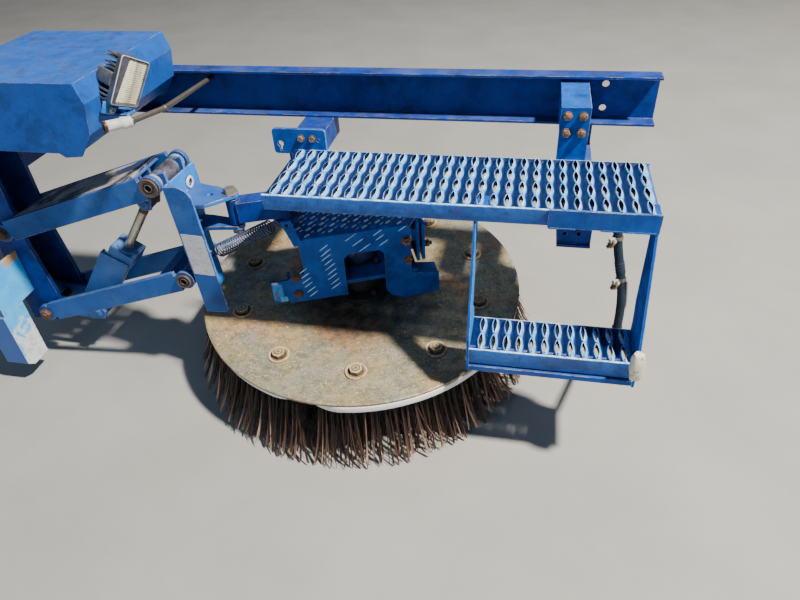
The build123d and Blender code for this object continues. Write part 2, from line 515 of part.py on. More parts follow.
# clamp block at the head, and a flat shield with a folded edge in front of the barrel
head = cyl_plate([(BARREL_L - 52, -36), (BARREL_L - 6, -36), (BARREL_L - 6, 36), (BARREL_L - 52, 36)], CYL_Y - 36, CYL_Y + 36)
head -= rod(on_cyl(BARREL_L - 60), on_cyl(BARREL_L), BARREL_R - 4)
barrel += head
barrel += cyl_plate([(62, 52), (244, 52), (252, -30), (168, -34), (100, -10)], CYL_Y - 42, CYL_Y - 36)
barrel += cyl_plate([(62, 46), (244, 46), (244, 52), (62, 52)], CYL_Y - 42, CYL_Y - 24)
barrel += cyl_plate([(222, -30), (242, -30), (242, 46), (222, 46)], CYL_Y - 36, CYL_Y - 26)
barrel += rod(on_cyl(0), on_cyl(30), 15)
barrel -= rod((bx, CYL_Y - 40, bz), (bx, CYL_Y + 40, bz), PIN_R + RUN)
NODES["cylinder_barrel"] = barrel
rd = rod(on_cyl(80), on_cyl(cl - 18), ROD_R)
rd += rod(on_cyl(72), on_cyl(88), 19.9)
rd += rod((ex, CYL_Y - 16, ez), (ex, CYL_Y + 16, ez), 22)
rd -= rod((ex, CYL_Y - 20, ez), (ex, CYL_Y + 20, ez), 16.5)
NODES["cylinder_rod"] = rd
print("cylinder length", round(cl, 1), "direction", [round(c, 5) for c in cu])

# ================================================================= export
os.makedirs("parts", exist_ok=True)
move = Pos(-ORIGIN.X, -ORIGIN.Y, -ORIGIN.Z)
for name, shape in NODES.items():
    export_step(move * shape, os.path.join("parts", name + ".step"))
print("origin", tuple(ORIGIN))
for label, p in (("UL", UL), ("LL", LL), ("UR", UR), ("LR", LR), ("EYE", CYL_EYE), ("BASE", CYL_BASE)):
    print(label, round(p[0] - ORIGIN.X, 3), round(p[1] - ORIGIN.Z, 3))
print("swing", round(sx - ORIGIN.X, 3), round(sy - ORIGIN.Y, 3))
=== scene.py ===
import bpy
import math
import random
from mathutils import Matrix, Vector, noise


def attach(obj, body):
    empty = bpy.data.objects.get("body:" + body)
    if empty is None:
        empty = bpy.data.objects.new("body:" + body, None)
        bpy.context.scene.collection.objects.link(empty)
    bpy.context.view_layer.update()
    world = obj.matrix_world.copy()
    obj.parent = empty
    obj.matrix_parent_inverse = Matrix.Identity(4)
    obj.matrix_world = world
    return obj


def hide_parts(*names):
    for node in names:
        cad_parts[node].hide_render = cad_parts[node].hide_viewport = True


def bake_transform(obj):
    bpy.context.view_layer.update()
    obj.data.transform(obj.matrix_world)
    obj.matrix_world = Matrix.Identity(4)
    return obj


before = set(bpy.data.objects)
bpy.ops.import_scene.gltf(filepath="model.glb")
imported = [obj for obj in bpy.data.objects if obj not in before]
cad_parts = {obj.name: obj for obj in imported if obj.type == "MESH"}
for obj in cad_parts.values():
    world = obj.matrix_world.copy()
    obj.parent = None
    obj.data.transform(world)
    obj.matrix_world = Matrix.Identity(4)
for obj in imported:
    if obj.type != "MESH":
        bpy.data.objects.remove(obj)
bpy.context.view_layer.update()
scene = bpy.context.scene

# Sizes below are in millimetres from the upper tread's top front left corner.
OX, OY, OZ = -25.0, 446.0, 75.0


def S(x, y, z):
    return Vector(((x - OX) / 1000.0, (y - OY) / 1000.0, (z - OZ) / 1000.0))


# ================================================================ camera
cam_data = bpy.data.cameras.new("camera")
cam = bpy.data.objects.new("camera", cam_data)
scene.collection.objects.link(cam)
RIGHT = Vector((0.98046, 0.19079, -0.04788))
UP = Vector((-0.07996, 0.60893, 0.78919))
FWD = Vector((-0.17972, 0.76994, -0.61228))
cm = Matrix((RIGHT, UP, -FWD)).transposed().to_4x4()
cm.translation = S(579.3, -1172.8, 658.7)
cam.matrix_world = cm
cam_data.sensor_width = 36.0
cam_data.lens = 630.2 * 36.0 / 800.0
cam_data.clip_start = 0.01
cam_data.clip_end = 60.0
scene.camera = cam

# ================================================================ mesh helpers


class MB:
    """Mesh under construction: points in millimetres, faces, one wear value a point; on the step planks and the disc's
    nuts the wear value also paints light and shade.
    """

    def __init__(self):
        self.v, self.f, self.w, self.m = [], [], [], []

    def pt(self, p, w=0.0):
        self.v.append((p[0], p[1], p[2]))
        self.w.append(w)
        return len(self.v) - 1

    def ring(self, pts, w=0.0):
        return [self.pt(p, w if not isinstance(w, (list, tuple)) else w[i]) for i, p in enumerate(pts)]

    def face(self, idx, mat=0):
        self.f.append(tuple(idx))
        self.m.append(mat)

    def bridge(self, a, b, closed=True, mat=0, flip=False):
        n = len(a)
        for i in range(n if closed else n - 1):
            j = (i + 1) % n
            q = (a[i], a[j], b[j], b[i])
            self.face(q[::-1] if flip else q, mat)

    def loft(self, rings, cap=True, mat=0):
        """Rings of equal length, joined in order, capped at both ends."""
        for a, b in zip(rings, rings[1:]):
            self.bridge(a, b, True, mat)
        if cap:
            self.face(list(reversed(rings[0])), mat)
            self.face(rings[-1], mat)

    def add(self, other, mtx=None, mat=None):
        k = len(self.v)
        for p, w in zip(other.v, other.w):
            q = mtx @ Vector(p) if mtx is not None else p
            self.v.append((q[0], q[1], q[2]))
            self.w.append(w)
        for f, m in zip(other.f, other.m):
            self.f.append(tuple(i + k for i in f))
            self.m.append(m if mat is None else mat)


def build(name, mb, mats, body, replaces=(), sharp=38.0, extra=None, local=False):
    """Turns an MB into an object in the row frame, riding on a body; given a tuple instead, it only bakes the object's
    transform into its mesh and rides on none.
    """
    me = bpy.data.meshes.new(name)
    if local:
        pts = mb.v
    else:
        pts = [((p[0] - OX) / 1000.0, (p[1] - OY) / 1000.0, (p[2] - OZ) / 1000.0) for p in mb.v]
    me.from_pydata(pts, [], mb.f)
    at = me.attributes.new("wear", "FLOAT", "POINT")
    at.data.foreach_set("value", mb.w)
    if extra:
        for key, vals in extra.items():
            a = me.attributes.new(key, "FLOAT", "POINT")
            a.data.foreach_set("value", vals)
    me.polygons.foreach_set("material_index", mb.m)
    me.polygons.foreach_set("use_smooth", [True] * len(me.polygons))
    me.update()
    me.set_sharp_from_angle(angle=math.radians(sharp))
    ob = bpy.data.objects.new(name, me)
    scene.collection.objects.link(ob)
    for mt in mats if isinstance(mats, (list, tuple)) else [mats]:
        me.materials.append(mt)
    if isinstance(body, tuple):
        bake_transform(ob)
    else:
        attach(ob, body)
    if replaces:
        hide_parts(*replaces)
    return ob


def frame_of(origin, z_dir, x_hint=(1, 0, 0)):
    """4x4 whose Z is z_dir, at origin, in millimetres."""
    z = Vector(z_dir).normalized()
    x = Vector(x_hint) - z * Vector(x_hint).dot(z)
    if x.length < 1e-5:
        x = Vector((0, 1, 0)) - z * z.y
    x.normalize()
    y = z.cross(x)
    m = Matrix((x, y, z)).transposed().to_4x4()
    m.translation = Vector(origin)
    return m


def lathe(profile, n=32, a0=0.0, a1=360.0, wears=None, wob=0.0, seed=0):
    """Turned piece about local Z from (radius, height) points. Closed all round if it spans 360."""
    mb = MB()
    full = abs(a1 - a0 - 360.0) < 1e-6
    steps = n if full else n + 1
    cols = []
    for k in range(steps):
        a = math.radians(a0 + (a1 - a0) * k / n)
        col = []
        for i, (r, h) in enumerate(profile):
            rr = r + (wob * noise.noise(Vector((math.cos(a) * 2.1 + seed, math.sin(a) * 2.1, h * 0.02))) if wob and r > 0 else 0.0)
            col.append(mb.pt((rr * math.cos(a), rr * math.sin(a), h), wears[i] if wears else 0.0))
        cols.append(col)
    for k in range(n):
        a, b = cols[k], cols[(k + 1) % steps]
        for i in range(len(profile) - 1):
            if profile[i][0] == 0 and profile[i + 1][0] == 0:
                continue
            if profile[i][0] == 0:
                mb.face((a[i], b[i + 1], a[i + 1]))
            elif profile[i + 1][0] == 0:
                mb.face((a[i], b[i], a[i + 1]))
            else:
                mb.face((a[i], b[i], b[i + 1], a[i + 1]))
    return mb


def weld(mb, eps=1e-4):
    """Merges equal points, so that turned pieces close on their axis."""
    seen, remap, v, w = {}, [], [], []
    for p, ww in zip(mb.v, mb.w):
        key = (round(p[0] / eps), round(p[1] / eps), round(p[2] / eps))
        if key not in seen:
            seen[key] = len(v)
            v.append(p)
            w.append(ww)
        remap.append(seen[key])
    f, m = [], []
    for face, mt in zip(mb.f, mb.m):
        q = []
        for i in face:
            j = remap[i]
            if j not in q:
                q.append(j)
        if len(q) > 2:
            f.append(tuple(q))
            m.append(mt)
    mb.v, mb.w, mb.f, mb.m = v, w, f, m
    return mb


def hexagon(across, h0, h1, cham=0.12, wear=0.5):
    """Hexagon head with a domed chamfer on top."""
    mb = MB()
    r = across / math.sqrt(3)
    d = (h1 - h0) * 0.28
    lo = mb.ring([(r * math.cos(math.radians(60 * k)), r * math.sin(math.radians(60 * k)), h0) for k in range(6)], wear * 0.3)
    hi = mb.ring([(r * math.cos(math.radians(60 * k)), r * math.sin(math.radians(60 * k)), h1 - d) for k in range(6)], wear)
    top = mb.ring([(r * (1 - cham) * math.cos(math.radians(60 * k)), r * (1 - cham) * math.sin(math.radians(60 * k)), h1) for k in range(6)], wear)
    mb.loft([lo, hi, top])
    return mb


def washer(r, ri, h0, h1, n=20):
    return lathe([(ri, h0), (r, h0), (r, h1 * 0.8 + h0 * 0.2), (r - 0.6, h1), (ri, h1), (ri, h0)], n)


def bolt(origin, z_dir, across=19, head=8, stud=0.0, stud_r=5, washer_r=0.0, rot=0.0, dome=False):
    """Bolt head or nut on a face, with a washer and the end of its thread if wanted."""
    mb = MB()
    base = 0.0
    if washer_r:
        mb.add(washer(washer_r, stud_r, 0, 2.2))
        base = 2.2
    if dome:
        mb.add(weld(lathe([(0, base - 0.5), (across * 0.55, base - 0.5), (across * 0.54, base + head * 0.35), (across * 0.42, base + head * 0.75),
                           (across * 0.2, base + head), (0, base + head)], 20, wears=[0, .1, .3, .7, .9, 1])))
    else:
        mb.add(hexagon(across, base - 0.4, base + head), Matrix.Rotation(math.radians(rot), 4, "Z"))
    if stud:
        prof = [(0, base + head - 1)]
        z = base + head - 1
        k = 0
        while z < base + head + stud - 1.2:
            prof.append((stud_r if k % 2 else stud_r - 0.7, z))
            z += 1.1
            k += 1
        prof += [(stud_r - 0.9, base + head + stud), (0, base + head + stud)]
        mb.add(weld(lathe(prof, 12)))
    out = MB()
    out.add(mb, frame_of(origin, z_dir))
    return out


def tube(points, r, n=10, cap=True, wear=0.2, up=(0, 0, 1), radii=None):
    """Round bar that follows points."""
    mb = MB()
    pts = [Vector(p) for p in points]
    t0 = (pts[1] - pts[0]).normalized()
    ref = Vector(up)
    if abs(ref.dot(t0)) > 0.95:
        ref = Vector((1, 0, 0))
    x = (ref - t0 * ref.dot(t0)).normalized()
    rings = []
    for i, p in enumerate(pts):
        if i == 0:
            t = (pts[1] - pts[0])
        elif i == len(pts) - 1:
            t = (pts[-1] - pts[-2])
        else:
            t = (pts[i + 1] - pts[i - 1])
        t.normalize()
        x = (x - t * x.dot(t)).normalized()
        y = t.cross(x)
        rr = radii[i] if radii else r
        rings.append(mb.ring([p + (x * math.cos(2 * math.pi * k / n) + y * math.sin(2 * math.pi * k / n)) * rr for k in range(n)], wear))
    mb.loft(rings, cap)
    return mb


def slab(poly, h0, h1, ch=0.8, wear=0.9):
    """Flat plate from a 2-D outline in local X and Y, with its edges broken by a small chamfer. The outline is convex and runs anticlockwise."""
    mb = MB()
    n = len(poly)
    cx = sum(p[0] for p in poly) / n
    cy = sum(p[1] for p in poly) / n

    def inset(d):
        out = []
        for i in range(n):
            p0, p1, p2 = Vector(poly[i - 1]), Vector(poly[i]), Vector(poly[(i + 1) % n])
            e0, e1 = (p1 - p0).normalized(), (p2 - p1).normalized()
            n0, n1 = Vector((-e0.y, e0.x)), Vector((-e1.y, e1.x))
            b = (n0 + n1)
            b = b / max(b.dot(n0), 0.2)
            out.append(p1 + b * d)
        return out
    ins = inset(ch)
    rings = [mb.ring([(p[0], p[1], h0) for p in ins], wear * 0.6), mb.ring([(p[0], p[1], h0 + ch) for p in poly], wear),
             mb.ring([(p[0], p[1], h1 - ch) for p in poly], wear), mb.ring([(p[0], p[1], h1) for p in ins], wear * 0.6)]
    mb.loft(rings)
    return mb


def rrect(w, h, r, n=5):
    pts = []
    for cx, cy, a0 in ((w / 2 - r, h / 2 - r, 0), (-w / 2 + r, h / 2 - r, 90), (-w / 2 + r, -h / 2 + r, 180), (w / 2 - r, -h / 2 + r, 270)):
        for k in range(n + 1):
            a = math.radians(a0 + 90 * k / n)
            pts.append((cx + r * math.cos(a), cy + r * math.sin(a)))
    return pts


def rpoly(pts, r, n=4):
    """Closed outline with its corners rounded off by r."""
    out = []
    m = len(pts)
    for i in range(m):
        p0, p1, p2 = Vector(pts[i - 1]), Vector(pts[i]), Vector(pts[(i + 1) % m])
        a = p1 + (p0 - p1).normalized() * r
        b = p1 + (p2 - p1).normalized() * r
        for k in range(n + 1):
            t = k / n
            q = a * (1 - t) ** 2 + p1 * (2 * t * (1 - t)) + b * t ** 2
            out.append((q.x, q.y))
    return out


# ================================================================ material helpers


class Mat:
    def __init__(self, name):
        self.m = bpy.data.materials.new(name)
        self.m.use_nodes = True
        self.t = self.m.node_tree
        self.b = self.t.nodes["Principled BSDF"]
        self._obj = None

    def node(self, kind, **props):
        n = self.t.nodes.new(kind)
        for k, v in props.items():
            setattr(n, k, v)
        return n

    def put(self, sock, val):
        if hasattr(val, "is_linked") or hasattr(val, "links"):
            self.t.links.new(val, sock)
        else:
            if isinstance(val, (tuple, list)) and len(val) == 3 and sock.type == "RGBA":
                val = (*val, 1.0)
            sock.default_value = val

    @property
    def obj(self):
        if self._obj is None:
            self._obj = self.node("ShaderNodeTexCoord").outputs["Object"]
        return self._obj

    def mapping(self, vec=None, scale=(1, 1, 1), loc=(0, 0, 0), rot=(0, 0, 0)):
        n = self.node("ShaderNodeMapping")
        self.put(n.inputs["Vector"], vec or self.obj)
        n.inputs["Scale"].default_value = scale
        n.inputs["Location"].default_value = loc
        n.inputs["Rotation"].default_value = rot
        return n.outputs[0]

    def noise(self, scale, detail=4.0, rough=0.55, vec=None, dist=0.0, dims="3D"):
        n = self.node("ShaderNodeTexNoise", noise_dimensions=dims)
        self.put(n.inputs["Vector"], vec or self.obj)
        n.inputs["Scale"].default_value = scale
        n.inputs["Detail"].default_value = detail
        n.inputs["Roughness"].default_value = rough
        n.inputs["Distortion"].default_value = dist
        return n.outputs["Fac"]

    def voronoi(self, scale, vec=None, feature="F1", rand=1.0):
        n = self.node("ShaderNodeTexVoronoi", feature=feature)
        self.put(n.inputs["Vector"], vec or self.obj)
        n.inputs["Scale"].default_value = scale
        n.inputs["Randomness"].default_value = rand
        return n.outputs["Distance"]

    def math(self, op, a, b=0.0, c=0.0, clamp=False):
        n = self.node("ShaderNodeMath", operation=op, use_clamp=clamp)
        self.put(n.inputs[0], a)
        self.put(n.inputs[1], b)
        if len(n.inputs) > 2:
            self.put(n.inputs[2], c)
        return n.outputs[0]

    def rng(self, x, a, b, c=0.0, d=1.0, smooth=False):
        n = self.node("ShaderNodeMapRange", clamp=True)
        if smooth:
            n.interpolation_type = "SMOOTHSTEP"
        self.put(n.inputs[0], x)
        for i, v in enumerate((a, b, c, d)):
            self.put(n.inputs[i + 1], v)
        return n.outputs[0]

    def mix(self, fac, a, b, mode="MIX"):
        n = self.node("ShaderNodeMix", data_type="RGBA", blend_type=mode, clamp_factor=True)
        self.put(n.inputs[0], fac)
        self.put(n.inputs[6], a)
        self.put(n.inputs[7], b)
        return n.outputs[2]

    def ramp(self, fac, stops):
        n = self.node("ShaderNodeValToRGB")
        self.put(n.inputs[0], fac)
        e = n.color_ramp.elements
        while len(e) < len(stops):
            e.new(0.5)
        for el, (p, c) in zip(e, stops):
            el.position = p
            el.color = (*c, 1.0) if len(c) == 3 else c
        return n.outputs[0]

    def attr(self, name):
        return self.node("ShaderNodeAttribute", attribute_name=name).outputs["Fac"]

    def edge(self, radius=0.002, samples=3):
        """1 on convex and concave edges, 0 on flats."""
        bev = self.node("ShaderNodeBevel", samples=samples)
        bev.inputs["Radius"].default_value = radius
        geo = self.node("ShaderNodeNewGeometry")
        d = self.node("ShaderNodeVectorMath", operation="DOT_PRODUCT")
        self.put(d.inputs[0], bev.outputs[0])
        self.put(d.inputs[1], geo.outputs["Normal"])
        return self.rng(self.math("ABSOLUTE", d.outputs["Value"]), 0.999, 0.88, 0.0, 1.0), bev.outputs[0]

    def up(self):
        geo = self.node("ShaderNodeNewGeometry")
        sep = self.node("ShaderNodeSeparateXYZ")
        self.put(sep.inputs[0], geo.outputs["Normal"])
        return sep.outputs["Z"]

    def bump(self, height, strength=0.3, dist=0.001, normal=None):
        n = self.node("ShaderNodeBump")
        n.inputs["Strength"].default_value = strength
        n.inputs["Distance"].default_value = dist
        self.put(n.inputs["Height"], height)
        if normal is not None:
            self.put(n.inputs["Normal"], normal)
        return n.outputs[0]

    def done(self, color=None, rough=None, metal=None, normal=None, **consts):
        for key, val in (("Base Color", color), ("Roughness", rough), ("Metallic", metal), ("Normal", normal)):
            if val is not None:
                self.put(self.b.inputs[key], val)
        for k, v in consts.items():
            self.put(self.b.inputs[k.replace("_", " ")], v)
        return self.m


BLUE = (0.0045, 0.070, 0.40)
ARM_AT = Matrix.Translation(Vector((131, 268, 0))) @ Matrix.Rotation(math.radians(21.9), 4, "Z")
BLUE_DEEP = (0.003, 0.035, 0.22)
CHALK = (0.055, 0.130, 0.42)
RUST = (0.15, 0.045, 0.016)
RUST_DK = (0.035, 0.013, 0.008)
STEEL = (0.56, 0.55, 0.52)
DUST = (0.36, 0.31, 0.23)


def paint(name, base=BLUE, fade=0.35, wear=0.6, chips=0.4, rust=0.35, dust=0.35, edge=True, shift=0.0, edge_col=(0.62, 0.60, 0.56), rough=0.42, bare=0.0, chalk=CHALK, radius=0.0022, side=None, spots=(), mottle=1.0, ior=1.5):
    """Old machine enamel: chalked and faded in patches, chipped to rust, rubbed bare along the edges, dusty on top;
    given a side colour, faces turned to +X are painted in it as painted sunlight.
    """
    M = Mat(name)
    co = M.mapping(loc=(shift, shift * 0.7, -shift))
    big = M.noise(3.2, 3, 0.55, co)
    mid = M.noise(17, 6, 0.66, co)
    fine = M.noise(120, 5, 0.68, co)
    col = M.mix(M.rng(mid, 0.36, 0.66), base, tuple(b * (1 - 0.50 * mottle) for b in base))
    col = M.mix(M.math("MULTIPLY", M.rng(fine, 0.52, 0.68), 0.35), col, tuple(b * 0.45 for b in base))
    # chalked patches with soft ends
    chm = M.math("MULTIPLY", M.rng(big, 0.62 - 0.45 * fade, 0.86 - 0.3 * fade, 0, 1, True), M.rng(mid, 0.32, 0.58))
    col = M.mix(M.math("MULTIPLY", chm, 0.85), col, chalk)
    # painted sunlight: faces turned to +X take the side colour, a brighter blue, as if the key light fell on them
    if side:
        geo = M.node("ShaderNodeNewGeometry")
        sunlit_side_normal = M.node("ShaderNodeSeparateXYZ")
        M.put(sunlit_side_normal.inputs[0], geo.outputs["Normal"])
        col = M.mix(M.math("MULTIPLY", M.rng(sunlit_side_normal.outputs["X"], 0.5, 0.85), M.rng(mid, 0.28, 0.50, 0.55, 0.95)), col, side)
    # stains: darker clouds with crisp borders, as from grease wiped over the paint
    stain = M.rng(M.noise(7.5, 6, 0.7, M.mapping(loc=(shift * 2, 5, shift)), 0.6), 0.55, 0.60)
    col = M.mix(M.math("MULTIPLY", stain, 0.42 * dust + 0.12), col, (0.020, 0.022, 0.045))
    # dragged scratches, nearly level
    scr_co = M.mapping(scale=(6, 6, 210), loc=(shift, 0, 0), rot=(0.12, 0.2, 0))
    scr = M.rng(M.noise(3.0, 3, 0.7, scr_co), 0.67, 0.72)
    scr = M.math("MULTIPLY", scr, M.rng(big, 0.45, 0.60))
    col = M.mix(M.math("MULTIPLY", scr, 0.45 * wear), col, (0.30, 0.38, 0.58))
    # dirt runs
    run_co = M.mapping(scale=(30, 30, 3.0), loc=(shift, 0, 0))
    run = M.rng(M.noise(1.4, 5, 0.62, run_co), 0.55, 0.74)
    col = M.mix(M.math("MULTIPLY", run, 0.50 * dust), col, (0.055, 0.050, 0.055))
    attr = M.attr("wear")
    if edge:
        em, bev = M.edge(radius, 3)
        em = M.math("MAXIMUM", em, attr)
    else:
        em, bev = attr, None
    # chips: small islands, more of them near edges
    isl = M.noise(68, 3, 0.75, co, 0.4)
    lim = M.math("SUBTRACT", 0.78 - 0.12 * chips, M.math("MULTIPLY", em, 0.17))
    lim = M.math("SUBTRACT", lim, M.math("MULTIPLY", M.rng(big, 0.5, 0.75), 0.05 * chips))
    chip = M.rng(M.math("SUBTRACT", isl, lim), 0.0, 0.010)
    rcol = M.mix(M.rng(fine, 0.4, 0.62), RUST, RUST_DK)
    col = M.mix(M.math("MULTIPLY", chip, min(1.0, 0.6 + rust)), col, rcol)
    # larger rust blooms
    bloom = M.rng(M.math("MULTIPLY", M.noise(9, 6, 0.7, M.mapping(loc=(3 + shift, 1, 2))), M.rng(fine, 0.2, 0.6)), 0.65 - 0.2 * rust, 0.72 - 0.1 * rust)
    bloom = M.math("MULTIPLY", bloom, 0.8 * rust)
    col = M.mix(bloom, col, rcol)
    # rubbed edges
    rub = M.rng(M.math("ADD", em, M.math("MULTIPLY", M.math("SUBTRACT", mid, 0.5), 1.7)), 1.02 - 0.42 * wear, 1.16 - 0.42 * wear)
    ecol = M.mix(M.rng(M.noise(40, 4, 0.6, co), 0.45, 0.60), edge_col, (0.26, 0.12, 0.06))
    col = M.mix(M.math("MULTIPLY", rub, 0.92), col, ecol)
    if bare:
        sheet = M.rng(M.noise(5.5, 5, 0.62, M.mapping(loc=(7 + shift, 3, 1))), 0.62 - 0.28 * bare, 0.70 - 0.28 * bare)
        col = M.mix(sheet, col, M.mix(M.rng(mid, 0.35, 0.65), (0.62, 0.58, 0.50), (0.34, 0.22, 0.14)))
    # dust on what faces up
    dmask = M.math("MULTIPLY", M.rng(M.up(), 0.35, 0.95), M.rng(M.noise(24, 6, 0.7, M.mapping(loc=(9, shift, 4))), 0.38, 0.70))
    col = M.mix(M.math("MULTIPLY", dmask, 0.45 * dust), col, (0.22, 0.18, 0.13))
    if spots:
        geo2 = M.node("ShaderNodeNewGeometry")
        fr_ = M.node("ShaderNodeVectorMath", operation="DOT_PRODUCT")
        M.put(fr_.inputs[0], geo2.outputs["Normal"])
        fr_.inputs[1].default_value = (math.sin(math.radians(21.9)), -math.cos(math.radians(21.9)), 0)
        front = M.rng(fr_.outputs["Value"], 0.80, 0.95)
        for (cu, cz, ru, rz), scol in spots:
            p_ = ARM_AT @ Vector((cu, -120.0, cz))
            q_ = M.mapping(M.mapping(loc=tuple(-S(p_.x, p_.y, p_.z))), rot=(0, 0, -math.radians(21.9)))
            sx_ = M.node("ShaderNodeSeparateXYZ")
            M.put(sx_.inputs[0], q_)
            du_ = M.math("DIVIDE", sx_.outputs["X"], ru / 1000.0)
            dz_ = M.math("DIVIDE", sx_.outputs["Z"], rz / 1000.0)
            far = M.math("POWER", M.math("ADD", M.math("POWER", M.math("ABSOLUTE", du_), 4.0), M.math("POWER", M.math("ABSOLUTE", dz_), 4.0)), 0.25)
            far = M.math("ADD", far, M.math("MULTIPLY", M.math("SUBTRACT", mid, 0.5), 0.7))
            col = M.mix(M.math("MULTIPLY", M.rng(far, 1.08, 0.78), front), col, M.mix(M.rng(fine, 0.40, 0.60), scol, tuple(k * 0.6 for k in scol)))
    rgh = M.math("ADD", M.rng(mid, 0.3, 0.7, rough - 0.09, rough + 0.12), M.math("MULTIPLY", M.math("MAXIMUM", chip, dmask), 0.25), clamp=True)
    h = M.math("SUBTRACT", M.math("MULTIPLY", fine, 0.14), M.math("MULTIPLY", M.math("MAXIMUM", chip, bloom), 0.5))
    nrm = M.bump(h, 0.4, 0.0012, bev)
    dent = M.bump(M.noise(7.0, 2, 0.5, co), 0.2, 0.012, nrm)
    return M.done(col, rgh, M.math("MULTIPLY", rub, 0.3), dent, Specular_IOR_Level=0.16, IOR=ior)


def rusty(name, tone=0.5, shift=0.0, bright=0.2):
    """Dark rusted steel with some rubbed spots."""
    M = Mat(name)
    co = M.mapping(loc=(shift, shift, 0))
    n1, n2 = M.noise(38, 6, 0.7, co), M.noise(210, 4, 0.6, co)
    col = M.ramp(n1, [(0.30, (0.030, 0.020, 0.016)), (0.48, (0.105 * (0.6 + tone), 0.048 * (0.6 + tone), 0.026)), (0.62, (0.20 * (0.6 + tone), 0.085 * (0.6 + tone), 0.038)), (0.8, (0.28, 0.20, 0.15))])
    wear = M.attr("wear")
    rub = M.rng(M.math("ADD", M.math("MULTIPLY", wear, bright), M.math("MULTIPLY", n2, 0.8)), 0.62, 0.82)
    col = M.mix(rub, col, (0.46, 0.43, 0.39))
    return M.done(col, M.rng(n1, 0.3, 0.7, 0.55, 0.85), M.math("MULTIPLY", rub, 0.7), M.bump(M.math("ADD", n1, M.math("MULTIPLY", n2, 0.6)), 0.5, 0.0012))


def zinc_mat(name, tone=1.0, dirt=0.4):
    M = Mat(name)
    n1, n2 = M.noise(55, 5, 0.65), M.noise(260, 3, 0.6)
    col = M.mix(M.rng(n1, 0.35, 0.68), (0.46 * tone, 0.44 * tone, 0.40 * tone), (0.26 * tone, 0.22 * tone, 0.17 * tone))
    col = M.mix(M.math("MULTIPLY", M.rng(n2, 0.5, 0.72), dirt), col, (0.16, 0.08, 0.04))
    return M.done(col, M.rng(n1, 0.3, 0.7, 0.36, 0.6), 0.75, M.bump(n2, 0.25, 0.0006))


P_FRAME = paint("blue_frame", base=(0.002, 0.050, 0.33), fade=0.18, wear=0.40, chips=0.5, rust=0.45, dust=0.5, shift=0.3)
P_BOX = paint("blue_box", base=(0.014, 0.106, 0.46), fade=0.34, mottle=0.45, wear=0.32, chips=0.5, rust=0.45, dust=0.45, shift=8.4, chalk=(0.024, 0.130, 0.48), edge_col=(0.60, 0.50, 0.40))
P_ARM = paint("blue_arm", base=(0.010, 0.100, 0.39), fade=0.75, radius=0.0028, wear=0.95, chips=0.7, rust=0.60, dust=0.30, shift=1.1, edge_col=(0.56, 0.52, 0.48), chalk=(0.036, 0.140, 0.44))
# side: the coupler's faces turned to +X are painted a bright blue as painted sunlight
P_COUPLER = paint("blue_coupler", base=(0.010, 0.095, 0.40), fade=0.60, wear=0.78, chips=0.55, rust=0.5, dust=0.30, shift=2.3, edge_col=(0.84, 0.78, 0.66), radius=0.0034, chalk=(0.045, 0.150, 0.46), side=(0.004, 0.235, 0.82))
P_MOUNT = paint("blue_mount", base=(0.001, 0.100, 0.49), fade=0.10, wear=0.45, chips=0.5, rust=0.45, dust=0.22, shift=3.7, edge_col=(0.22, 0.27, 0.40), chalk=(0.008, 0.110, 0.46),
                spots=(((-234, -337, 15, 31), (0.050, 0.330, 0.88)), ((-238, -349, 6, 15), (0.140, 0.170, 0.440)), ((-222, -362, 11, 9), (0.110, 0.520, 0.95)), ((-239, -309, 9, 4), (0.42, 0.55, 0.78))))
P_CYL = paint("blue_cylinder", base=(0.026, 0.145, 0.46), fade=0.85, wear=0.60, chips=0.5, rust=0.5, dust=0.35, shift=12.3, edge_col=(0.50, 0.50, 0.52), chalk=(0.085, 0.200, 0.48))
P_STEP = paint("blue_step", base=(0.004, 0.098, 0.46), fade=0.45, wear=0.90, chips=0.5, rust=0.45, dust=0.30, shift=5.2, edge_col=(0.80, 0.76, 0.68))
# side: the hangers' faces turned to +X are painted a brighter blue as painted sunlight
P_HANG = paint("blue_hanger", base=(0.002, 0.110, 0.52), fade=0.12, rough=0.66, ior=1.14, wear=0.78, chips=0.3, rust=0.25, dust=0.3, shift=6.6, edge_col=(0.62, 0.72, 0.84), side=(0.020, 0.230, 0.72))


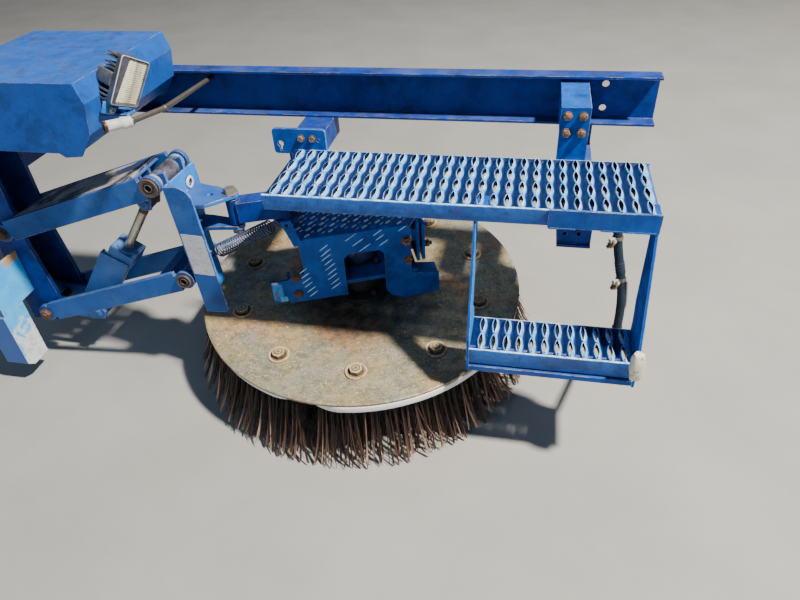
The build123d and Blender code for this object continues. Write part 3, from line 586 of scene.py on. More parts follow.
def guard_mat():
    """Bent guard: blue enamel; faces turned to +X painted a bright light blue as painted sunlight; pale cream on the
    leg's +X faces, worn paint kept to the sunlit side, so partly painted light; a scraped tan patch at the top.
    """
    M = Mat("guard_enamel")
    n1, n2, n3 = M.noise(15, 6, 0.7, None, 0.5), M.noise(70, 5, 0.7), M.noise(6, 4, 0.6)
    geo = M.node("ShaderNodeNewGeometry")
    sep = M.node("ShaderNodeSeparateXYZ")
    M.put(sep.inputs[0], geo.outputs["Normal"])
    pos = M.node("ShaderNodeSeparateXYZ")
    M.put(pos.inputs[0], M.obj)
    # painted sunlight: the right mask picks the faces turned to +X; they get the bright blue, and on the leg the pale
    # cream as well
    right = M.rng(sep.outputs["X"], 0.45, 0.8)
    low = M.rng(pos.outputs["Z"], S(0, 0, -405).z, S(0, 0, -432).z)
    col = M.mix(M.rng(n1, 0.36, 0.66), (0.030, 0.120, 0.44), (0.060, 0.150, 0.42))
    painted_sunlit_blue = M.mix(M.rng(n1, 0.36, 0.64), (0.020, 0.400, 1.0), (0.080, 0.560, 1.0))
    col = M.mix(M.math("MULTIPLY", right, 0.95), col, painted_sunlit_blue)
    cream = M.rng(M.math("ADD", M.math("MULTIPLY", M.math("SUBTRACT", n1, 0.5), 2.4), M.rng(pos.outputs["Z"], S(0, 0, -430).z, S(0, 0, -590).z, 0.25, 0.95)), 0.42, 0.62)
    col = M.mix(M.math("MULTIPLY", M.math("MULTIPLY", right, low), cream), col, M.mix(M.rng(n2, 0.4, 0.65), (0.68, 0.76, 0.79), (0.50, 0.49, 0.46)))
    top = M.rng(M.math("ADD", pos.outputs["Z"], M.math("MULTIPLY", M.math("SUBTRACT", n1, 0.5), 0.06)), S(0, 0, -304).z, S(0, 0, -300).z)
    patch = M.math("MULTIPLY", top, M.rng(M.math("ADD", pos.outputs["Y"], M.math("MULTIPLY", M.math("SUBTRACT", n3, 0.5), 0.08)), S(0, 34, 0).y, S(0, 38, 0).y))
    col = M.mix(patch, col, (0.50, 0.30, 0.19))
    em, bev = M.edge(0.003, 3)
    rub = M.rng(M.math("ADD", em, M.math("MULTIPLY", M.math("SUBTRACT", n2, 0.5), 1.4)), 0.75, 0.95)
    col = M.mix(rub, col, (0.80, 0.76, 0.68))
    chip = M.rng(n2, 0.69, 0.71)
    col = M.mix(M.math("MULTIPLY", chip, 0.7), col, (0.10, 0.06, 0.07))
    return M.done(col, M.rng(n1, 0.3, 0.7, 0.38, 0.6), None, M.bump(M.math("ADD", n1, n2), 0.3, 0.0014, bev), Specular_IOR_Level=0.35)


M_GUARD = guard_mat()
M_RUST = rusty("rusted_steel", 0.5)
M_RUST_DK = rusty("rusted_dark", 0.15, 4.0, 0.1)
M_BOLT = rusty("bolt_steel", 0.7, 9.0, 0.55)
M_HEADS = rusty("rusted_tan", 1.5, 6.0, 0.05)
M_ZINC = zinc_mat("zinc_worn")
M_ZINC_DK = zinc_mat("zinc_dirty", 0.45, 0.8)


def ring_mat(name, pale, dark, cut0, cut1, rough=0.45):
    """Pale worn piece whose hollows are dirty."""
    M = Mat(name)
    n1, n2 = M.noise(50, 5, 0.65), M.noise(220, 4, 0.6)
    w = M.attr("wear")
    m = M.rng(M.math("ADD", w, M.math("MULTIPLY", M.math("SUBTRACT", n1, 0.5), 1.0)), cut0, cut1)
    return M.done(M.mix(m, M.mix(M.rng(n2, 0.4, 0.6), dark, tuple(k * 0.4 for k in dark)), pale), rough, None, M.bump(n2, 0.3, 0.0008))


M_RING = ring_mat("ring_pale", (0.74, 0.76, 0.76), (0.10, 0.07, 0.045), 0.25, 0.55)
M_SLEEVE = ring_mat("sleeve_grey", (0.34, 0.34, 0.40), (0.050, 0.046, 0.066), 0.12, 0.80)
M_PIN = ring_mat("pin_dark", (0.125, 0.092, 0.085), (0.026, 0.018, 0.018), 0.40, 1.05, 0.6)


def tread_mat():
    """Paint of the serrated planks: rims rubbed to bright pale metal; painted sunlight on the flanks facing +X, which
    turn a bright blue; painted shade on the flanks facing -X, in the valleys and down the holes, which go near black;
    some dirt there too.
    """
    M = Mat("tread_paint")
    co = M.obj
    w = M.attr("wear")
    big, mid, fine = M.noise(6, 3, 0.5), M.noise(34, 5, 0.66), M.noise(170, 4, 0.6)
    col = M.mix(M.rng(mid, 0.38, 0.66), (0.022, 0.140, 0.52), (0.010, 0.080, 0.36))
    col = M.mix(M.math("MULTIPLY", M.rng(big, 0.50, 0.68), M.rng(mid, 0.42, 0.62)), col, (0.030, 0.180, 0.60))
    # stains on the lips
    stain = M.rng(M.noise(11, 6, 0.7, M.mapping(loc=(5, 2, 1)), 0.5), 0.52, 0.57)
    col = M.mix(M.math("MULTIPLY", stain, 0.60), col, (0.040, 0.062, 0.215))
    # painted light and shade: where the wear is high and the face lies up (the +X flanks) the paint turns a bright blue
    # as painted sunlight; where it is low (the -X flanks, the valleys and the hole walls) it goes near black as painted
    # shade
    sunlit_flank_mask = M.rng(M.math("ADD", w, M.math("MULTIPLY", M.math("SUBTRACT", mid, 0.5), 0.45)), 0.14, 0.36)
    facet = M.rng(M.noise(115, 3, 0.7, M.mapping(loc=(6, 3, 2)), 0.6), 0.47, 0.53)
    painted_sun_azure = M.mix(facet, (0.22, 0.66, 0.94), (0.09, 0.36, 0.84))
    painted_sun_azure = M.mix(M.math("MULTIPLY", M.rng(M.noise(90, 4, 0.7, M.mapping(loc=(1, 7, 5)), 0.5), 0.54, 0.60), 0.8), painted_sun_azure, (0.50, 0.66, 0.94))
    painted_sun_azure = M.mix(M.math("MULTIPLY", M.rng(mid, 0.54, 0.68), 0.7), painted_sun_azure, (0.10, 0.34, 0.80))
    lie = M.rng(M.up(), 0.12, 0.35)
    col = M.mix(M.math("MULTIPLY", M.math("MULTIPLY", sunlit_flank_mask, lie), 0.92), col, painted_sun_azure)
    deep = M.rng(w, 0.14, -0.34)
    col = M.mix(M.math("MULTIPLY", deep, 0.95), col, (0.0010, 0.010, 0.070))
    # darker patches where the wear is low, on the -X flanks and in the valleys: partly dirt, partly painted shade
    dirt = M.math("MULTIPLY", M.rng(w, 0.3, -0.2), M.rng(M.noise(60, 5, 0.7), 0.50, 0.64))
    col = M.mix(M.math("MULTIPLY", dirt, 0.5), col, (0.012, 0.014, 0.040))
    rub = M.rng(M.math("ADD", w, M.math("MULTIPLY", M.math("SUBTRACT", mid, 0.5), 1.3)), 0.68, 0.90)
    metal = M.mix(facet, (0.94, 0.98, 1.0), (0.62, 0.72, 0.84))
    metal = M.mix(M.math("MULTIPLY", M.rng(M.noise(48, 4, 0.7, M.mapping(loc=(2, 5, 1))), 0.54, 0.64), 0.62), metal, (0.34, 0.18, 0.13))
    col = M.mix(rub, col, metal)
    chip = M.rng(M.noise(85, 3, 0.75, M.mapping(loc=(4, 4, 4))), 0.68, 0.70)
    col = M.mix(M.math("MULTIPLY", chip, 0.85), col, (0.07, 0.028, 0.022))
    rgh = M.rng(mid, 0.3, 0.7, 0.32, 0.52)
    return M.done(col, rgh, None, M.bump(M.math("ADD", M.math("MULTIPLY", fine, 0.6), M.math("ADD", M.math("MULTIPLY", mid, 0.7), M.math("MULTIPLY", facet, 0.5))), 0.6, 0.0016), Specular_IOR_Level=0.30)


M_TREAD = tread_mat()

# disc frame: tilted with the broom's axis
DISC_C = (131.0, 268.0, -430.0)
TILT = Matrix.Translation(Vector(DISC_C)) @ Matrix.Rotation(math.radians(4.4), 4, "X") @ Matrix.Rotation(math.radians(0.8), 4, "Y")
AXIS = (TILT.to_3x3() @ Vector((0, 0, 1))).normalized()


def disc_mat():
    """Bare plate worn by stones: mottled tan grey with soft orange and grey clouds and faint turned streaks."""
    M = Mat("disc_steel")
    r3 = TILT.to_3x3().inverted()
    eul = r3.to_euler("XYZ")
    c = S(*DISC_C)
    loc = -(r3 @ c)
    q = M.mapping(rot=tuple(eul), loc=tuple(loc))
    sep = M.node("ShaderNodeSeparateXYZ")
    M.put(sep.inputs[0], q)
    x, y = sep.outputs["X"], sep.outputs["Y"]
    rad = M.math("SQRT", M.math("ADD", M.math("MULTIPLY", x, x), M.math("MULTIPLY", y, y)))
    safe = M.math("MAXIMUM", rad, 0.01)
    comb = M.node("ShaderNodeCombineXYZ")
    M.put(comb.inputs[0], M.math("MULTIPLY", M.math("DIVIDE", x, safe), 1.2))
    M.put(comb.inputs[1], M.math("MULTIPLY", M.math("DIVIDE", y, safe), 1.2))
    M.put(comb.inputs[2], M.math("MULTIPLY", rad, 42.0))
    streak = M.noise(2.2, 5, 0.62, comb.outputs[0], 0.25)
    big, mid, fine = M.noise(4.6, 5, 0.60, None, 1.4), M.noise(40, 6, 0.70), M.noise(240, 5, 0.7)
    col = M.ramp(big, [(0.30, (0.225, 0.225, 0.180)), (0.43, (0.300, 0.270, 0.180)), (0.53, (0.360, 0.280, 0.145)), (0.62, (0.270, 0.265, 0.220)), (0.74, (0.215, 0.235, 0.225))])
    wx = M.node("ShaderNodeVectorMath", operation="DISTANCE")
    M.put(wx.inputs[0], M.mapping(scale=(0.55, 1.3, 1.0), rot=(0, 0, math.radians(12))))
    wc = Matrix.Rotation(math.radians(12), 3, "Z") @ Vector((S(0, 55, -440).x * 0.55, S(0, 55, -440).y * 1.3, S(0, 55, -440).z))
    wx.inputs[1].default_value = wc
    near = M.rng(wx.outputs["Value"], 0.17, 0.03, 0, 1, True)
    warm = M.rng(M.math("ADD", M.noise(3.1, 4, 0.6, M.mapping(loc=(1.7, 4.2, 0)), 1.0), M.math("MULTIPLY", near, 0.22)), 0.52, 0.68)
    col = M.mix(M.math("MULTIPLY", warm, 0.85), col, (0.56, 0.240, 0.080))
    ochre = M.rng(M.noise(6.5, 4, 0.6, M.mapping(loc=(9.3, 2.2, 1)), 1.0), 0.52, 0.64)
    col = M.mix(M.math("MULTIPLY", ochre, 0.45), col, (0.48, 0.360, 0.130))
    cool = M.rng(M.noise(4.4, 4, 0.6, M.mapping(loc=(6.1, 0.4, 2)), 1.0), 0.50, 0.64)
    col = M.mix(M.math("MULTIPLY", cool, 0.72), col, (0.235, 0.290, 0.305))
    # turned streaks, faint
    col = M.mix(M.math("MULTIPLY", M.rng(streak, 0.54, 0.66), 0.22), col, (0.52, 0.46, 0.34))
    col = M.mix(M.math("MULTIPLY", M.rng(streak, 0.47, 0.35), 0.34), col, (0.150, 0.140, 0.105))
    # mottling, specks and straight scratches
    col = M.mix(M.math("MULTIPLY", M.rng(mid, 0.47, 0.59), 0.58), col, (0.130, 0.112, 0.068))
    col = M.mix(M.math("MULTIPLY", M.rng(fine, 0.54, 0.61), 0.55), col, (0.68, 0.54, 0.26))
    pale = M.rng(M.noise(120, 4, 0.7, M.mapping(loc=(3, 8, 1))), 0.62, 0.66)
    col = M.mix(M.math("MULTIPLY", pale, 0.75), col, (0.92, 0.80, 0.44))
    col = M.mix(M.math("MULTIPLY", M.rng(M.noise(95, 4, 0.7, M.mapping(loc=(5, 1, 7))), 0.58, 0.66), 0.50), col, (0.105, 0.080, 0.052))
    sc1 = M.rng(M.noise(4.0, 3, 0.7, M.mapping(scale=(4, 60, 4), rot=(0, 0, 0.5))), 0.66, 0.70)
    sc2 = M.rng(M.noise(4.0, 3, 0.7, M.mapping(scale=(5, 75, 5), rot=(0, 0, -0.9), loc=(3, 0, 0))), 0.67, 0.71)
    sc3 = M.rng(M.noise(4.0, 3, 0.7, M.mapping(scale=(5, 90, 5), rot=(0, 0, 1.7), loc=(8, 2, 0))), 0.67, 0.71)
    col = M.mix(M.math("MULTIPLY", M.math("MAXIMUM", M.math("MAXIMUM", sc1, sc2), sc3), 0.60), col, (0.80, 0.74, 0.58))
    # rust ring at the rim and round the washers
    w = M.attr("wear")
    rim = M.math("MULTIPLY", w, M.rng(mid, 0.34, 0.60))
    col = M.mix(M.math("MULTIPLY", rim, 0.60), col, (0.26, 0.150, 0.085))
    # painted shade with some grease: the disc goes near black towards the hub, with a mottled edge
    hub_in = M.math("ADD", rad, M.math("MULTIPLY", M.math("SUBTRACT", big, 0.5), 0.35))
    painted_hub_shade = M.math("MULTIPLY", M.rng(hub_in, 0.30, 0.12, 0, 1, True), M.rng(mid, 0.25, 0.6, 0.6, 1.0))
    col = M.mix(M.math("MULTIPLY", painted_hub_shade, 0.88), col, (0.022, 0.022, 0.024))
    h = M.math("ADD", M.math("MULTIPLY", streak, 0.35), M.math("ADD", M.math("MULTIPLY", mid, 0.7), M.math("MULTIPLY", fine, 0.5)))
    return M.done(col, M.rng(mid, 0.3, 0.7, 0.46, 0.66), 0.22, M.bump(h, 0.34, 0.0014))


M_DISC = disc_mat()


def nut_mat():
    """Bolt heads of the disc: scoured by stones to tan and cream, dark brown in between; near black round the nut's
    foot and on the washer's inner flat as painted shade.
    """
    M = Mat("stone_worn_bolt")
    n1, n2 = M.noise(95, 5, 0.72), M.noise(300, 4, 0.70)
    w = M.attr("wear")
    col = M.mix(M.rng(n1, 0.40, 0.60), (0.33, 0.205, 0.090), (0.13, 0.072, 0.034))
    m = M.rng(M.math("ADD", w, M.math("MULTIPLY", M.math("SUBTRACT", n1, 0.5), 2.2)), 0.30, 0.95)
    col = M.mix(m, col, (0.70, 0.58, 0.37))
    # painted shade: where the wear value is below zero (the nut's lower sides and the washer's inner flat) the colour
    # goes near black
    col = M.mix(M.rng(w, 0.0, -0.25), col, (0.030, 0.016, 0.010))
    col = M.mix(M.math("MULTIPLY", M.rng(n2, 0.50, 0.62), 0.65), col, (0.10, 0.050, 0.026))
    return M.done(col, M.rng(n1, 0.3, 0.7, 0.5, 0.7), 0.1, M.bump(M.math("ADD", n1, n2), 0.6, 0.0016))


M_NUT = nut_mat()


def plastic_mat(name, col=(0.80, 0.80, 0.79), dirt=(0.30, 0.25, 0.19), amount=0.4, rough=0.42):
    M = Mat(name)
    n1, n2 = M.noise(22, 5, 0.65), M.noise(150, 4, 0.6)
    w = M.attr("wear")
    c = M.mix(M.rng(n1, 0.35, 0.7), col, tuple(k * 0.86 for k in col))
    c = M.mix(M.math("MULTIPLY", M.rng(M.math("ADD", n2, M.math("MULTIPLY", w, 0.18)), 0.56, 0.70), amount), c, dirt)
    return M.done(c, M.rng(n1, 0.3, 0.7, rough - 0.06, rough + 0.14), None, M.bump(n2, 0.25, 0.0008))


M_WHITE = plastic_mat("white_plastic", (0.95, 0.95, 0.95), (0.36, 0.32, 0.27), 0.35)
M_FOAM = plastic_mat("cream_foam", (0.86, 0.83, 0.66), (0.26, 0.13, 0.07), 0.75, 0.75)
M_STICK = plastic_mat("blank_sticker", (0.60, 0.61, 0.66), (0.22, 0.20, 0.22), 0.45, 0.5)


def bristle_mat():
    """Flat spring wire: near black towards the root, rust brown, bright orange tan where the tips are scoured; whole
    rows darker by their rnd value, the inner rows as painted shade inside the brush.
    """
    M = Mat("bristle_wire")
    t, r = M.attr("along"), M.attr("rnd")
    n = M.noise(420, 3, 0.6)
    body = M.ramp(r, [(0.0, (0.010, 0.007, 0.006)), (0.35, (0.034, 0.016, 0.010)), (0.62, (0.080, 0.041, 0.031)), (0.82, (0.150, 0.082, 0.062)), (1.0, (0.31, 0.190, 0.145))])
    tip = M.ramp(r, [(0.0, (0.028, 0.013, 0.010)), (0.45, (0.10, 0.050, 0.032)), (0.66, (0.34, 0.185, 0.120)), (0.82, (0.72, 0.45, 0.31)), (1.0, (0.90, 0.68, 0.50))])
    col = M.mix(M.rng(t, 0.0, 0.42), (0.006, 0.005, 0.005), body)
    col = M.mix(M.rng(M.math("ADD", t, M.math("MULTIPLY", r, 0.25)), 0.70, 1.10), col, tip)
    col = M.mix(M.math("MULTIPLY", M.rng(n, 0.5, 0.7), 0.5), col, (0.020, 0.011, 0.008))
    return M.done(col, 0.52, 0.35, M.bump(n, 0.2, 0.0004))


M_BRIST = bristle_mat()


def lamp_black():
    M = Mat("lamp_black")
    n1, n2 = M.noise(48, 5, 0.6), M.noise(320, 3, 0.6)
    w = M.attr("wear")
    c = M.mix(M.rng(n1, 0.35, 0.7), (0.048, 0.054, 0.068), (0.110, 0.117, 0.132))
    c = M.mix(M.rng(M.math("ADD", w, M.math("MULTIPLY", M.math("SUBTRACT", n1, 0.5), 0.7)), 0.70, 1.02), c, (0.44, 0.46, 0.48))
    return M.done(c, M.rng(n1, 0.3, 0.7, 0.38, 0.58), None, M.bump(n2, 0.25, 0.0006))


M_LAMP = lamp_black()
M_FOOT = ring_mat("foot_pale", (0.52, 0.53, 0.54), (0.16, 0.12, 0.09), -0.1, 0.5)


def lens_mat():
    """Cream plastic lens, cloudy with age: brighter along its left side, dusky in the middle."""
    M = Mat("lamp_lens")
    a = M.attr("wear")
    n1 = M.noise(26, 4, 0.6, M.mapping(scale=(1, 1, 0.4)))
    s = M.math("ADD", a, M.math("MULTIPLY", M.math("SUBTRACT", n1, 0.5), 0.5))
    c = M.ramp(s, [(0.05, (0.86, 0.83, 0.66)), (0.30, (0.80, 0.76, 0.56)), (0.46, (0.40, 0.38, 0.27)), (0.66, (0.52, 0.50, 0.36)), (0.86, (0.74, 0.70, 0.52))])
    c = M.mix(M.math("MULTIPLY", M.rng(M.noise(90, 4, 0.6), 0.50, 0.64), 0.45), c, (0.34, 0.32, 0.22))
    return M.done(c, 0.2, None, None, Coat_Weight=0.5, Coat_Roughness=0.1, IOR=1.5)


M_LENS = lens_mat()


def hose_mat():
    M = Mat("hose_rubber")
    n1, n2 = M.noise(42, 5, 0.6), M.noise(300, 3, 0.6)
    c = M.mix(M.rng(n1, 0.34, 0.68), (0.005, 0.014, 0.028), (0.016, 0.034, 0.056))
    c = M.mix(M.math("MULTIPLY", M.rng(n2, 0.5, 0.72), 0.25), c, (0.10, 0.10, 0.11))
    return M.done(c, M.rng(n1, 0.3, 0.7, 0.6, 0.8), None, M.bump(n2, 0.3, 0.0006), Specular_IOR_Level=0.25)


M_HOSE = hose_mat()


def brass_mat():
    M = Mat("brass_dirty")
    n1 = M.noise(70, 5, 0.65)
    c = M.mix(M.rng(n1, 0.36, 0.66), (0.36, 0.24, 0.11), (0.15, 0.075, 0.040))
    return M.done(c, M.rng(n1, 0.3, 0.7, 0.4, 0.65), 0.7, M.bump(n1, 0.25, 0.0008))


M_BRASS = brass_mat()


def rod_mat():
    """Old chrome, yellowed, with the eye and its neck rusted."""
    M = Mat("rod_chrome")
    n1, n2 = M.noise(30, 4, 0.6), M.noise(160, 4, 0.65)
    base = M.mix(M.rng(n1, 0.4, 0.65), (0.66, 0.59, 0.46), (0.50, 0.44, 0.34))
    base = M.mix(M.math("MULTIPLY", M.rng(n2, 0.54, 0.68), 0.5), base, (0.24, 0.13, 0.06))
    dist = M.node("ShaderNodeVectorMath", operation="DISTANCE")
    M.put(dist.inputs[0], M.obj)
    dist.inputs[1].default_value = S(-392, 145, -118)
    eye = M.rng(M.math("ADD", dist.outputs["Value"], M.math("MULTIPLY", n1, 0.02)), 0.066, 0.058)
    col = M.mix(eye, base, M.mix(M.rng(n2, 0.4, 0.62), (0.16, 0.070, 0.030), (0.050, 0.028, 0.018)))
    return M.done(col, M.math("ADD", M.math("MULTIPLY", eye, 0.45), 0.26), M.math("SUBTRACT", 0.75, M.math("MULTIPLY", eye, 0.6)), M.bump(n2, 0.18, 0.0006))


M_ROD = rod_mat()


def motor_mat():
    """Cast motor: dark blue paint above a given height, near black below it."""
    M = Mat("motor_paint")
    n1, n2 = M.noise(28, 5, 0.65), M.noise(170, 4, 0.6)
    sep = M.node("ShaderNodeSeparateXYZ")
    M.put(sep.inputs[0], M.obj)
    zc = S(0, 0, -318).z
    topm = M.rng(M.math("ADD", sep.outputs["Z"], M.math("MULTIPLY", M.math("SUBTRACT", n1, 0.5), 0.03)), zc - 0.004, zc + 0.004)
    c = M.mix(topm, M.mix(M.rng(n1, 0.35, 0.7), (0.016, 0.015, 0.016), (0.045, 0.040, 0.036)), M.mix(M.rng(n1, 0.35, 0.7), (0.008, 0.035, 0.20), (0.010, 0.020, 0.09)))
    c = M.mix(M.math("MULTIPLY", M.rng(n2, 0.52, 0.7), 0.4), c, (0.10, 0.085, 0.07))
    return M.done(c, M.rng(n1, 0.3, 0.7, 0.42, 0.7), None, M.bump(M.math("ADD", n1, n2), 0.35, 0.0012))


M_MOTOR = motor_mat()


def bar_mat(name, top, side, rust=0.3):
    """Raised chequer bar: paint on the flanks, a lighter crown in the top colour: rubbed metal, and on the cover's bars
    also a painted sheen.
    """
    M = Mat(name)
    w = M.attr("wear")
    n1, n2 = M.noise(60, 4, 0.7), M.noise(14, 3, 0.6)
    rub = M.rng(M.math("ADD", w, M.math("MULTIPLY", M.math("SUBTRACT", n1, 0.5), 1.2)), 0.55, 0.85)
    rub = M.math("MULTIPLY", rub, M.rng(n2, 0.32, 0.46, 0.45, 1.0))
    crown = M.mix(M.rng(M.noise(85, 4, 0.6, M.mapping(loc=(3, 1, 1))), 0.58, 0.70), top, (0.34, 0.22, 0.15))
    return M.done(M.mix(rub, side, crown), 0.42, M.math("MULTIPLY", rub, 0.3), M.bump(n1, 0.25, 0.0008))


# the cover's bar crowns are pure white: rubbed metal, made white as a painted sheen
M_BAR_CROWN_RUB_AND_SHEEN = bar_mat("bar_crown_white_rub_and_sheen", (1.0, 1.0, 0.98), (0.16, 0.30, 0.56))
M_BAR_FRONT = bar_mat("bar_crown_blue", (0.40, 0.72, 1.0), (0.040, 0.210, 0.66))


def cover_mat():
    """Worn plate between the upper bars: scraped to pale metal in the middle, blue and dirty at the sides."""
    M = Mat("cover_worn")
    n1, n2, n3 = M.noise(9, 5, 0.62, None, 0.5), M.noise(55, 5, 0.66), M.noise(210, 4, 0.6)
    px = M.node("ShaderNodeSeparateXYZ")
    M.put(px.inputs[0], M.obj)
    right = M.rng(px.outputs["X"], S(-640, 0, 0).x, S(-420, 0, 0).x)
    bare = M.mix(M.rng(n2, 0.38, 0.64), M.mix(right, (0.56, 0.57, 0.56), (0.74, 0.70, 0.60)), (0.36, 0.31, 0.25))
    bare = M.mix(M.math("MULTIPLY", M.rng(n3, 0.52, 0.7), 0.5), bare, (0.24, 0.14, 0.08))
    old = M.mix(M.rng(n2, 0.38, 0.62), (0.020, 0.060, 0.20), (0.060, 0.062, 0.068))
    col = M.mix(M.rng(M.math("ADD", n1, M.math("MULTIPLY", right, 0.06)), 0.47, 0.55), old, bare)
    em, bev = M.edge(0.002, 3)
    col = M.mix(M.math("MULTIPLY", em, 0.7), col, (0.66, 0.64, 0.60))
    return M.done(col, M.rng(n2, 0.3, 0.7, 0.4, 0.62), 0.3, M.bump(n2, 0.3, 0.001, bev))


M_COVER = cover_mat()

# ================================================================ CAD nodes' materials
NODE_MAT = {
    "mounting_beam": P_FRAME, "outrigger_box": P_BOX, "work_light_housing": M_LAMP, "work_light_lens": M_LENS, "work_light_bracket": P_HANG,
    "water_nozzle": M_WHITE, "nozzle_pipe": M_ZINC_DK, "link_hanger": P_FRAME, "hanger_pins": M_RUST, "hanger_guard": M_GUARD, "cylinder_bracket": P_ARM,
    "upper_tread": M_TREAD, "tread_nosing": P_STEP, "lower_tread": M_TREAD, "lower_tread_bar": P_STEP, "step_hanger_left": P_HANG,
    "step_hanger_right": P_HANG, "step_bracket_left": P_HANG, "step_bracket_right": P_HANG, "step_arm_left": P_FRAME, "step_arm_right": P_FRAME,
    "corner_bumper": M_FOAM, "spray_hose": M_HOSE, "hose_fittings": M_BRASS, "upper_arm": P_ARM, "arm_cover_plate": M_COVER, "lower_arm": P_ARM,
    "coupler": P_COUPLER, "coupler_pins": M_RUST, "swing_pin": M_BOLT, "return_spring": M_ZINC_DK, "swing_arm": P_FRAME, "motor_mount": P_MOUNT,
    "tilt_bracket": P_MOUNT, "broom_motor": M_MOTOR, "motor_ports": M_ZINC_DK, "motor_hub": M_MOTOR, "broom_disc": M_DISC, "disc_bolts": M_BOLT,
    "broom_segments": M_WHITE, "bristles": M_BRIST, "cylinder_barrel": P_CYL, "cylinder_rod": M_ROD,
}
for node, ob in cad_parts.items():
    ob.data.materials.clear()
    ob.data.materials.append(NODE_MAT[node])

# ================================================================ serrated step planks
PX, PY = 29.07, 60.3


def plank(x0, x1, y0, y1, zt, lip, fx, cols, fy, rows, seed):
    """Serrated plank: columns of slit diamonds on standing ridges with toothed rims, deep valleys between them, and a lip bent down at each long side."""
    rnd = random.Random(seed)
    mb = MB()
    NL, NS = 12, 4
    th = 2.2
    HX, HY = 5.2, 24.6

    def contour(hx, hy, lo=None, hi=None, tip=1.0):
        pts = []
        for side in (1, -1):
            for i in range(NL):
                t = i / NL
                y = (-hy + 2 * hy * t) * side
                x = (tip + (hx - tip) * max(0.0, 1 - (abs(y) / hy) ** 1.45)) * side
                pts.append((x, y))
            for i in range(NS):
                t = i / NS
                pts.append((tip * (1 - 2 * t) * side, hy * side))
        if lo is not None:
            pts = [(x, min(max(y, lo), hi)) for x, y in pts]
        return pts

    for r in range(rows):
        for c in range(cols):
            cx, cy = fx + c * PX, fy + r * PY
            lo = (y0 + 4 - cy) if r == 0 else -PY / 2
            hi = (y1 - 4 - cy) if r == rows - 1 else PY / 2
            xl = -PX / 2 if c else x0 + 1.5 - cx
            xr = PX / 2 if c < cols - 1 else x1 - 1.5 - cx
            dz = rnd.uniform(-0.7, 0.3)
            lean = rnd.uniform(-0.6, 0.6)
            dents = [rnd.uniform(-0.7, 0.5) for _ in range(NL * 2 + NS * 2)]
            hole = contour(HX + rnd.uniform(-0.5, 0.6), HY, lo + 1.0, hi - 1.0)
            rim = contour(HX + 1.3, HY + 1.6, lo + 0.7, hi - 0.7, 1.6)
            slope = contour(HX + 4.4, HY + 3.4, lo + 0.4, hi - 0.4, 4.6)
            edge = []
            for k in range(NL):
                edge.append((xr, lo + (hi - lo) * k / NL))
            for k in range(NS):
                edge.append((xr + (xl - xr) * k / NS, hi))
            for k in range(NL):
                edge.append((xl, hi + (lo - hi) * k / NL))
            for k in range(NS):
                edge.append((xl + (xr - xl) * k / NS, lo))

            def saddle(x):
                return -2.3 - 10.2 * min(1.0, abs(x) / 14.5) ** 1.1

            def ez(x, y):
                if (r == 0 and abs(y - lo) < 0.1) or (r == rows - 1 and abs(y - hi) < 0.1):
                    return -5.0
                if abs(y - lo) < 0.1 or abs(y - hi) < 0.1:
                    return saddle(x)
                return -12.5
            r_in, r_wall, r_rim, r_slo, r_edge, b_in, b_slo, b_edge = [], [], [], [], [], [], [], []
            # The wear values below also paint light and shade through tread_paint: high on the +X side of each ridge
            # (painted sunlight), low on the -X side, in the valleys, on the hole walls and at the hole bottoms (painted
            # shade).
            for i, (x, y) in enumerate(hole):
                mid = max(0.0, 1 - (abs(y) / HY) ** 2)
                tooth = 0.0 if i % 2 == 0 else -1.9 * (0.35 + 0.65 * mid)
                z = -2.6 + 2.6 * mid + tooth + min(0.0, dz + dents[i] * 0.7) + lean * (x / 6.0) * mid * 0.5
                r_in.append(mb.pt((cx + x, cy + y, zt + min(z, 0.0)), 0.97 if i % 2 == 0 else 0.80))
                r_wall.append(mb.pt((cx + x * 0.99, cy + y * 0.995, zt + min(z, 0.0) - 1.3), -0.7))
                b_in.append(mb.pt((cx + x * 0.94, cy + y * 0.97, zt - 15.5), -1.0))
            for i, (x, y) in enumerate(rim):
                mid = max(0.0, 1 - (abs(y) / HY) ** 2)
                z = -2.9 + 1.7 * mid + (-0.9 * mid if i % 2 else 0.0) + dz
                r_rim.append(mb.pt((cx + x, cy + y, zt + min(z, -0.1)), 0.74 if x > -0.5 else 0.58))
            for i, (x, y) in enumerate(slope):
                mid = max(0.0, 1 - (abs(y) / HY) ** 2)
                z = min(saddle(x), -6.2 - 0.4 * mid)
                r_slo.append(mb.pt((cx + x, cy + y, zt + z), 0.50 if x > 0 else -0.75))
                b_slo.append(mb.pt((cx + x, cy + y, zt + z - th), 0.05))
            for i, (x, y) in enumerate(edge):
                z = ez(x, y)
                wv = -1.0 if abs(abs(x) - PX / 2) < 0.1 else (0.60 * math.exp(-((x - 3) / 6.5) ** 2) if x > -4 else -0.7)
                if r == 0 and abs(y - lo) < 0.1:
                    wv = 0.72
                r_edge.append(mb.pt((cx + x, cy + y, zt + z), wv))
                b_edge.append(mb.pt((cx + x, cy + y, zt + z - th), 0.05))
            mb.bridge(r_in, r_rim, True, 0, True)
            mb.bridge(r_rim, r_slo, True, 0, True)
            mb.bridge(r_slo, r_edge, True, 0, True)
            mb.bridge(b_edge, b_slo, True, 0, True)
            mb.bridge(b_slo, b_in, True, 0, True)
            mb.bridge(b_in, r_wall, True, 0, True)
            mb.bridge(r_wall, r_in, True, 0, True)
    weld(mb, 0.01)
